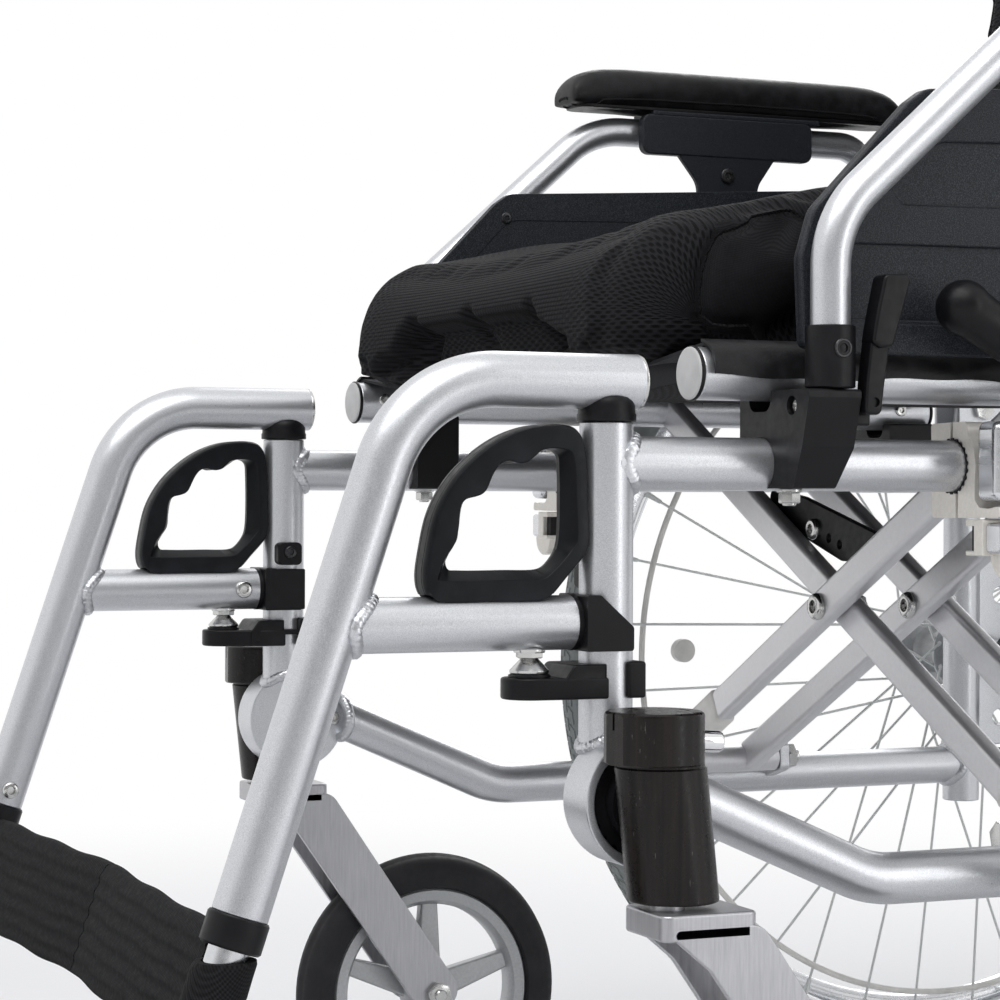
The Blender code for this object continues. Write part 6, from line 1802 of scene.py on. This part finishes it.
def on_back(y, z):
    """A place's height up the cane and its distance behind the cane's axis."""
    up = (z - HINGE_Z) * math.cos(LEAN) + (y - HINGE_Y) * math.sin(LEAN)
    return up, (y - HINGE_Y) * math.cos(LEAN) - (z - HINGE_Z) * math.sin(LEAN)


def back_upholstery():
    """Back of five sewn channels with a bound edge, woven behind, and four tension straps."""
    mesh = inflated(grid_solid(84, 110, dense(back_point)), 5.0, 8.0, 3.0)
    for v in mesh.vertices:
        x, y, z = v.co
        limit = back_hollow(x) - CANE_R - 0.5 + 8.0 * max(0.0, 1 - (x / 140) ** 2)
        over = on_back(y, z)[1] - limit
        if over > 0:
            v.co.y -= over * math.cos(LEAN)
            v.co.z += over * math.sin(LEAN)
    seams = [[back_point(-1 + 2 * i / 300, k / 5)[0] for i in range(12, 289)] for k in range(1, 5)]
    mesh = creased(mesh, [on_surface(mesh, row) for row in seams], 4.5, 5.0)
    ob = piece("back_upholstery", mesh, "left_back", "mesh_black", ["back_upholstery"], angle=75)
    lay_cloth(ob, [back_point(0, v / 500)[0][1:] for v in range(501)], lambda x, d: 0.75)

    def behind(x, y, z):
        up, rear = on_back(y, z)
        return rear > back_hollow(x) - CANE_R - 5.0 or not 38 < up < 526

    second(ob, "side_cloth", behind)
    corners = [(-0.985, 0.012), (0.985, 0.012), (0.985, 0.988), (-0.985, 0.988), (-0.985, 0.012)]
    ring = [back_point(*corners[0])[1]]
    for (u0, v0), (u1, v1) in zip(corners, corners[1:]):
        ring += [back_point(u0 + (u1 - u0) * i / 80, v0 + (v1 - v0) * i / 80)[1] for i in range(1, 81)]
    cord = tube(on_surface(mesh, stepped(ring, 4)), 2.6, 12, 0.4)
    binding = piece("back_binding", cord, "left_back", "strap_cloth", angle=75)
    outline = []
    for k in range(41):
        x = -232 + 464 * k / 40
        outline.append((x, 13.0 + 0.6 * math.sin(k * 0.8) + 9.0 * max(0.0, 1 - (x / 150) ** 2)))
    outline += [(x, across + 2.2) for x, across in reversed(outline)]
    straps = []
    for s in (110, 230, 350, 470):
        strap = plate([outline], "Z", s, s + 40, 0.5)
        for v in strap.vertices:
            v.co.yz = cane_point(v.co.z, v.co.y)
        straps.append(strap)
    bands = piece("back_straps", straps, "left_back", "strap_cloth", angle=60)
    narrow_with_fold(0.435, 0.231, ob, binding, bands)


def headrest():
    """Headrest in knitted mesh with woven ends and a seam at each."""
    mesh = inflated(grid_solid(60, 48, dense(headrest_point)), 4.5, 12.0, 4.0)
    ob = piece("headrest", mesh, "left_back", "mesh_black", ["headrest"], angle=75)
    lay_cloth(ob, [headrest_point(0, v / 300)[0][1:] for v in range(301)], lambda x, d: 0.6)
    second(ob, "side_cloth", lambda x, y, z: abs(x) > 122)
    cords = []
    for s in (-1, 1):
        line = stepped([headrest_point(s * 0.9, v / 40)[0] for v in range(1, 40)], 3)
        cords.append(tube(on_surface(mesh, line), 1.8, 10, 0.3))
    seam = piece("headrest_seams", cords, "left_back", "strap_cloth", angle=75)
    narrow_with_fold(0.435, 0.231, ob, seam)


def arm_pads():
    """Crowned arm pad with a seam round it, on a flat base."""
    mesh = inflated(grid_solid(24, 60, dense(pad_point)), 3.0, 5.0, 1.2)
    pads = pair("arm_pad", mesh, "armrest", "pad_black", "arm_pad", angle=75)
    ring = []
    for k in range(161):
        a = 2 * math.pi * k / 160
        along = math.copysign(abs(math.sin(a)) ** 0.55, math.sin(a))
        ring.append((PAD_X + 17.6 * math.cos(a), 333.5 + 127.5 * along, 681.5))
    pair("pad_seam", tube(on_surface(mesh, ring), 0.9, 8, 0.2), "armrest", "strap_cloth", angle=75)
    base = plate([rounded([(250, 212), (279, 212), (279, 456), (250, 456)], 9)], "Z", 675.2, 677.6, 0.6)
    pair("pad_base", base, "armrest", "plastic_black")


def calf_straps():
    """Half of the padded strap behind the calves: lengthways ribs, and a loop round the sliding tube."""
    strap_z = 196
    mid_y = hanger_y(strap_z)
    faces = []
    for face in (-1, 1):
        grid = []
        for v in (j / 56 for j in range(57)):
            rib = 0.55 * math.sin(v * math.pi * 14)
            thick = 1.6 + (2.6 + rib) * max(0.0, 1 - abs(2 * v - 1) ** 8) ** 0.5
            row = []
            for t in (i / 64 for i in range(65)):
                y = mid_y - 1 + 9 * (1 - t) ** 1.5 + face * thick
                row.append((0.6 + t * 215, y, 168 + 56 * v + 0.5 * math.sin(t * 17)))
            grid.append(row)
        faces.append(grid)
    profile = [(10.9, 170.5), (13.8, 170.2), (14.8, 171.5), (14.6, 190), (14.8, 196), (14.6, 204),
               (14.6, 210), (13.8, 212), (10.9, 212.2), (10.9, 170.5)]
    loop = lathe(profile, (FRAME_X, mid_y, 0), UP, 40)
    body = merged([closed_sheet(*faces), loop])
    for v in body.vertices:
        v.co.y += (v.co.z - strap_z) * SLOPE
    for ob, s in zip(pair("calf_strap", body, "hanger", "strap_cloth", "calf_strap", angle=50), (1, -1)):
        narrow_with_fold(0.42, s * 0.233, ob)


# Stage

def stage():
    """Pale floor that turns to plain white away from the chair."""
    bpy.ops.mesh.primitive_plane_add(size=60)
    floor = bpy.context.object
    floor.name = "floor"
    g = Graph("floor_pale", (0.84, 0.84, 0.85), 0.55, 0.0, specular_ior_level=0.15)
    far = g.node("VectorMath", "Value", {0: g.coords}, operation="LENGTH")
    fade = g.node("MapRange", "Result", {"Value": far, "From Min": 0.9, "From Max": 2.0},
                  interpolation_type="SMOOTHSTEP")
    shader = g.node("MixShader", "Shader", {"Fac": fade, 1: g.bsdf.outputs["BSDF"], 2: g.node("Emission")})
    g.tree.links.new(shader, g.tree.nodes["Material Output"].inputs["Surface"])
    floor.data.materials.append(g.mat)


def lamp(name, at, size, power):
    """Rectangular lamp turned towards the middle of the chair."""
    data = bpy.data.lights.new(name, "AREA")
    data.shape = "RECTANGLE"
    data.size, data.size_y = size
    data.energy = power
    ob = linked(data)
    ob.name = name
    ob.location = at
    ob.rotation_mode = "QUATERNION"
    ob.rotation_quaternion = (Vector((0, 0, 0.45)) - Vector(at)).to_track_quat("-Z", "Y")


def lights():
    """Even grey surround and three soft lamps; what the camera and clear parts see behind the chair is white,
    and mirrors see white that darkens towards one side."""
    world = bpy.data.worlds.new("studio")
    bpy.context.scene.world = world
    world.use_nodes = True
    tree = world.node_tree
    surround = tree.nodes["Background"]
    surround.inputs["Color"].default_value = (0.5, 0.505, 0.52, 1)
    surround.inputs["Strength"].default_value = 1.0
    rays = shader_node(tree, "LightPath", None)
    mirrored = rays["Is Glossy Ray"]
    either = shader_node(tree, "Math", 0, {0: rays["Is Camera Ray"], 1: mirrored}, operation="MAXIMUM")
    shown = shader_node(tree, "Math", 0, {0: either, 1: rays["Is Transmission Ray"]}, operation="MAXIMUM")
    ahead = shader_node(tree, "TexCoord", "Generated")
    toward = shader_node(tree, "VectorMath", "Value", {0: ahead, 1: (0.90, -0.39, -0.18)},
                         operation="DOT_PRODUCT")
    span = {"Value": toward, "From Min": 0.25, "From Max": 0.95, "To Min": 1.0, "To Max": 0.32}
    darker = shader_node(tree, "MapRange", "Result", span, interpolation_type="SMOOTHSTEP")
    tone = shader_node(tree, "Mix", 0, {"Factor": mirrored, 2: 1.0, 3: darker}, data_type="FLOAT")
    seen = shader_node(tree, "Background", 0, {"Color": tone, "Strength": 1.0})
    either_world = shader_node(tree, "MixShader", 0, {"Fac": shown, 1: surround.outputs[0], 2: seen})
    tree.links.new(either_world, tree.nodes["World Output"].inputs["Surface"])
    lamp("key", (0.9, -1.0, 2.6), (2.4, 1.6), 44)
    lamp("back_fill", (-1.8, 1.4, 1.9), (1.6, 1.6), 20)
    lamp("side_strip", (2.2, 1.3, 0.9), (0.5, 2.0), 9)


def camera():
    """Level view from the chair's front left, fitted to the photo; focal length in picture widths."""
    focal = 2.684
    place_at = (1.363, -0.7777, 0.417)
    heading, tilt, roll = (math.radians(a) for a in (66.6, -0.11, 0.21))
    data = bpy.data.cameras.new("camera")
    data.sensor_width = 36.0
    data.lens = focal * data.sensor_width
    data.clip_start = 0.05
    data.clip_end = 100.0
    ob = linked(data)
    ob.name = "camera"
    ahead = Vector((-math.sin(heading) * math.cos(tilt), math.cos(heading) * math.cos(tilt), math.sin(tilt)))
    level = Vector((math.cos(heading), math.sin(heading), 0))
    up = level.cross(ahead)
    right = level * math.cos(roll) + up * math.sin(roll)
    top = up * math.cos(roll) - level * math.sin(roll)
    ob.matrix_world = Matrix.Translation(place_at) @ Matrix((right, top, -ahead)).transposed().to_4x4()
    bpy.context.scene.camera = ob
    bpy.context.scene.view_settings.view_transform = "Standard"


make_materials()
side_frames()
stop_blocks()
sockets()
brake_mounts()
caster_housings()
caster_forks()
caster_wheels()
rear_wheels()
rear_tyres()
hangers()
hanger_saddles()
release_handles()
footplates()
armrests()
latches()
brakes()
braces()
canes()
recline_levers()
struts()
anti_tippers()
seat_sling()
seat_cushion()
back_upholstery()
headrest()
arm_pads()
calf_straps()
stage()
lights()
camera()
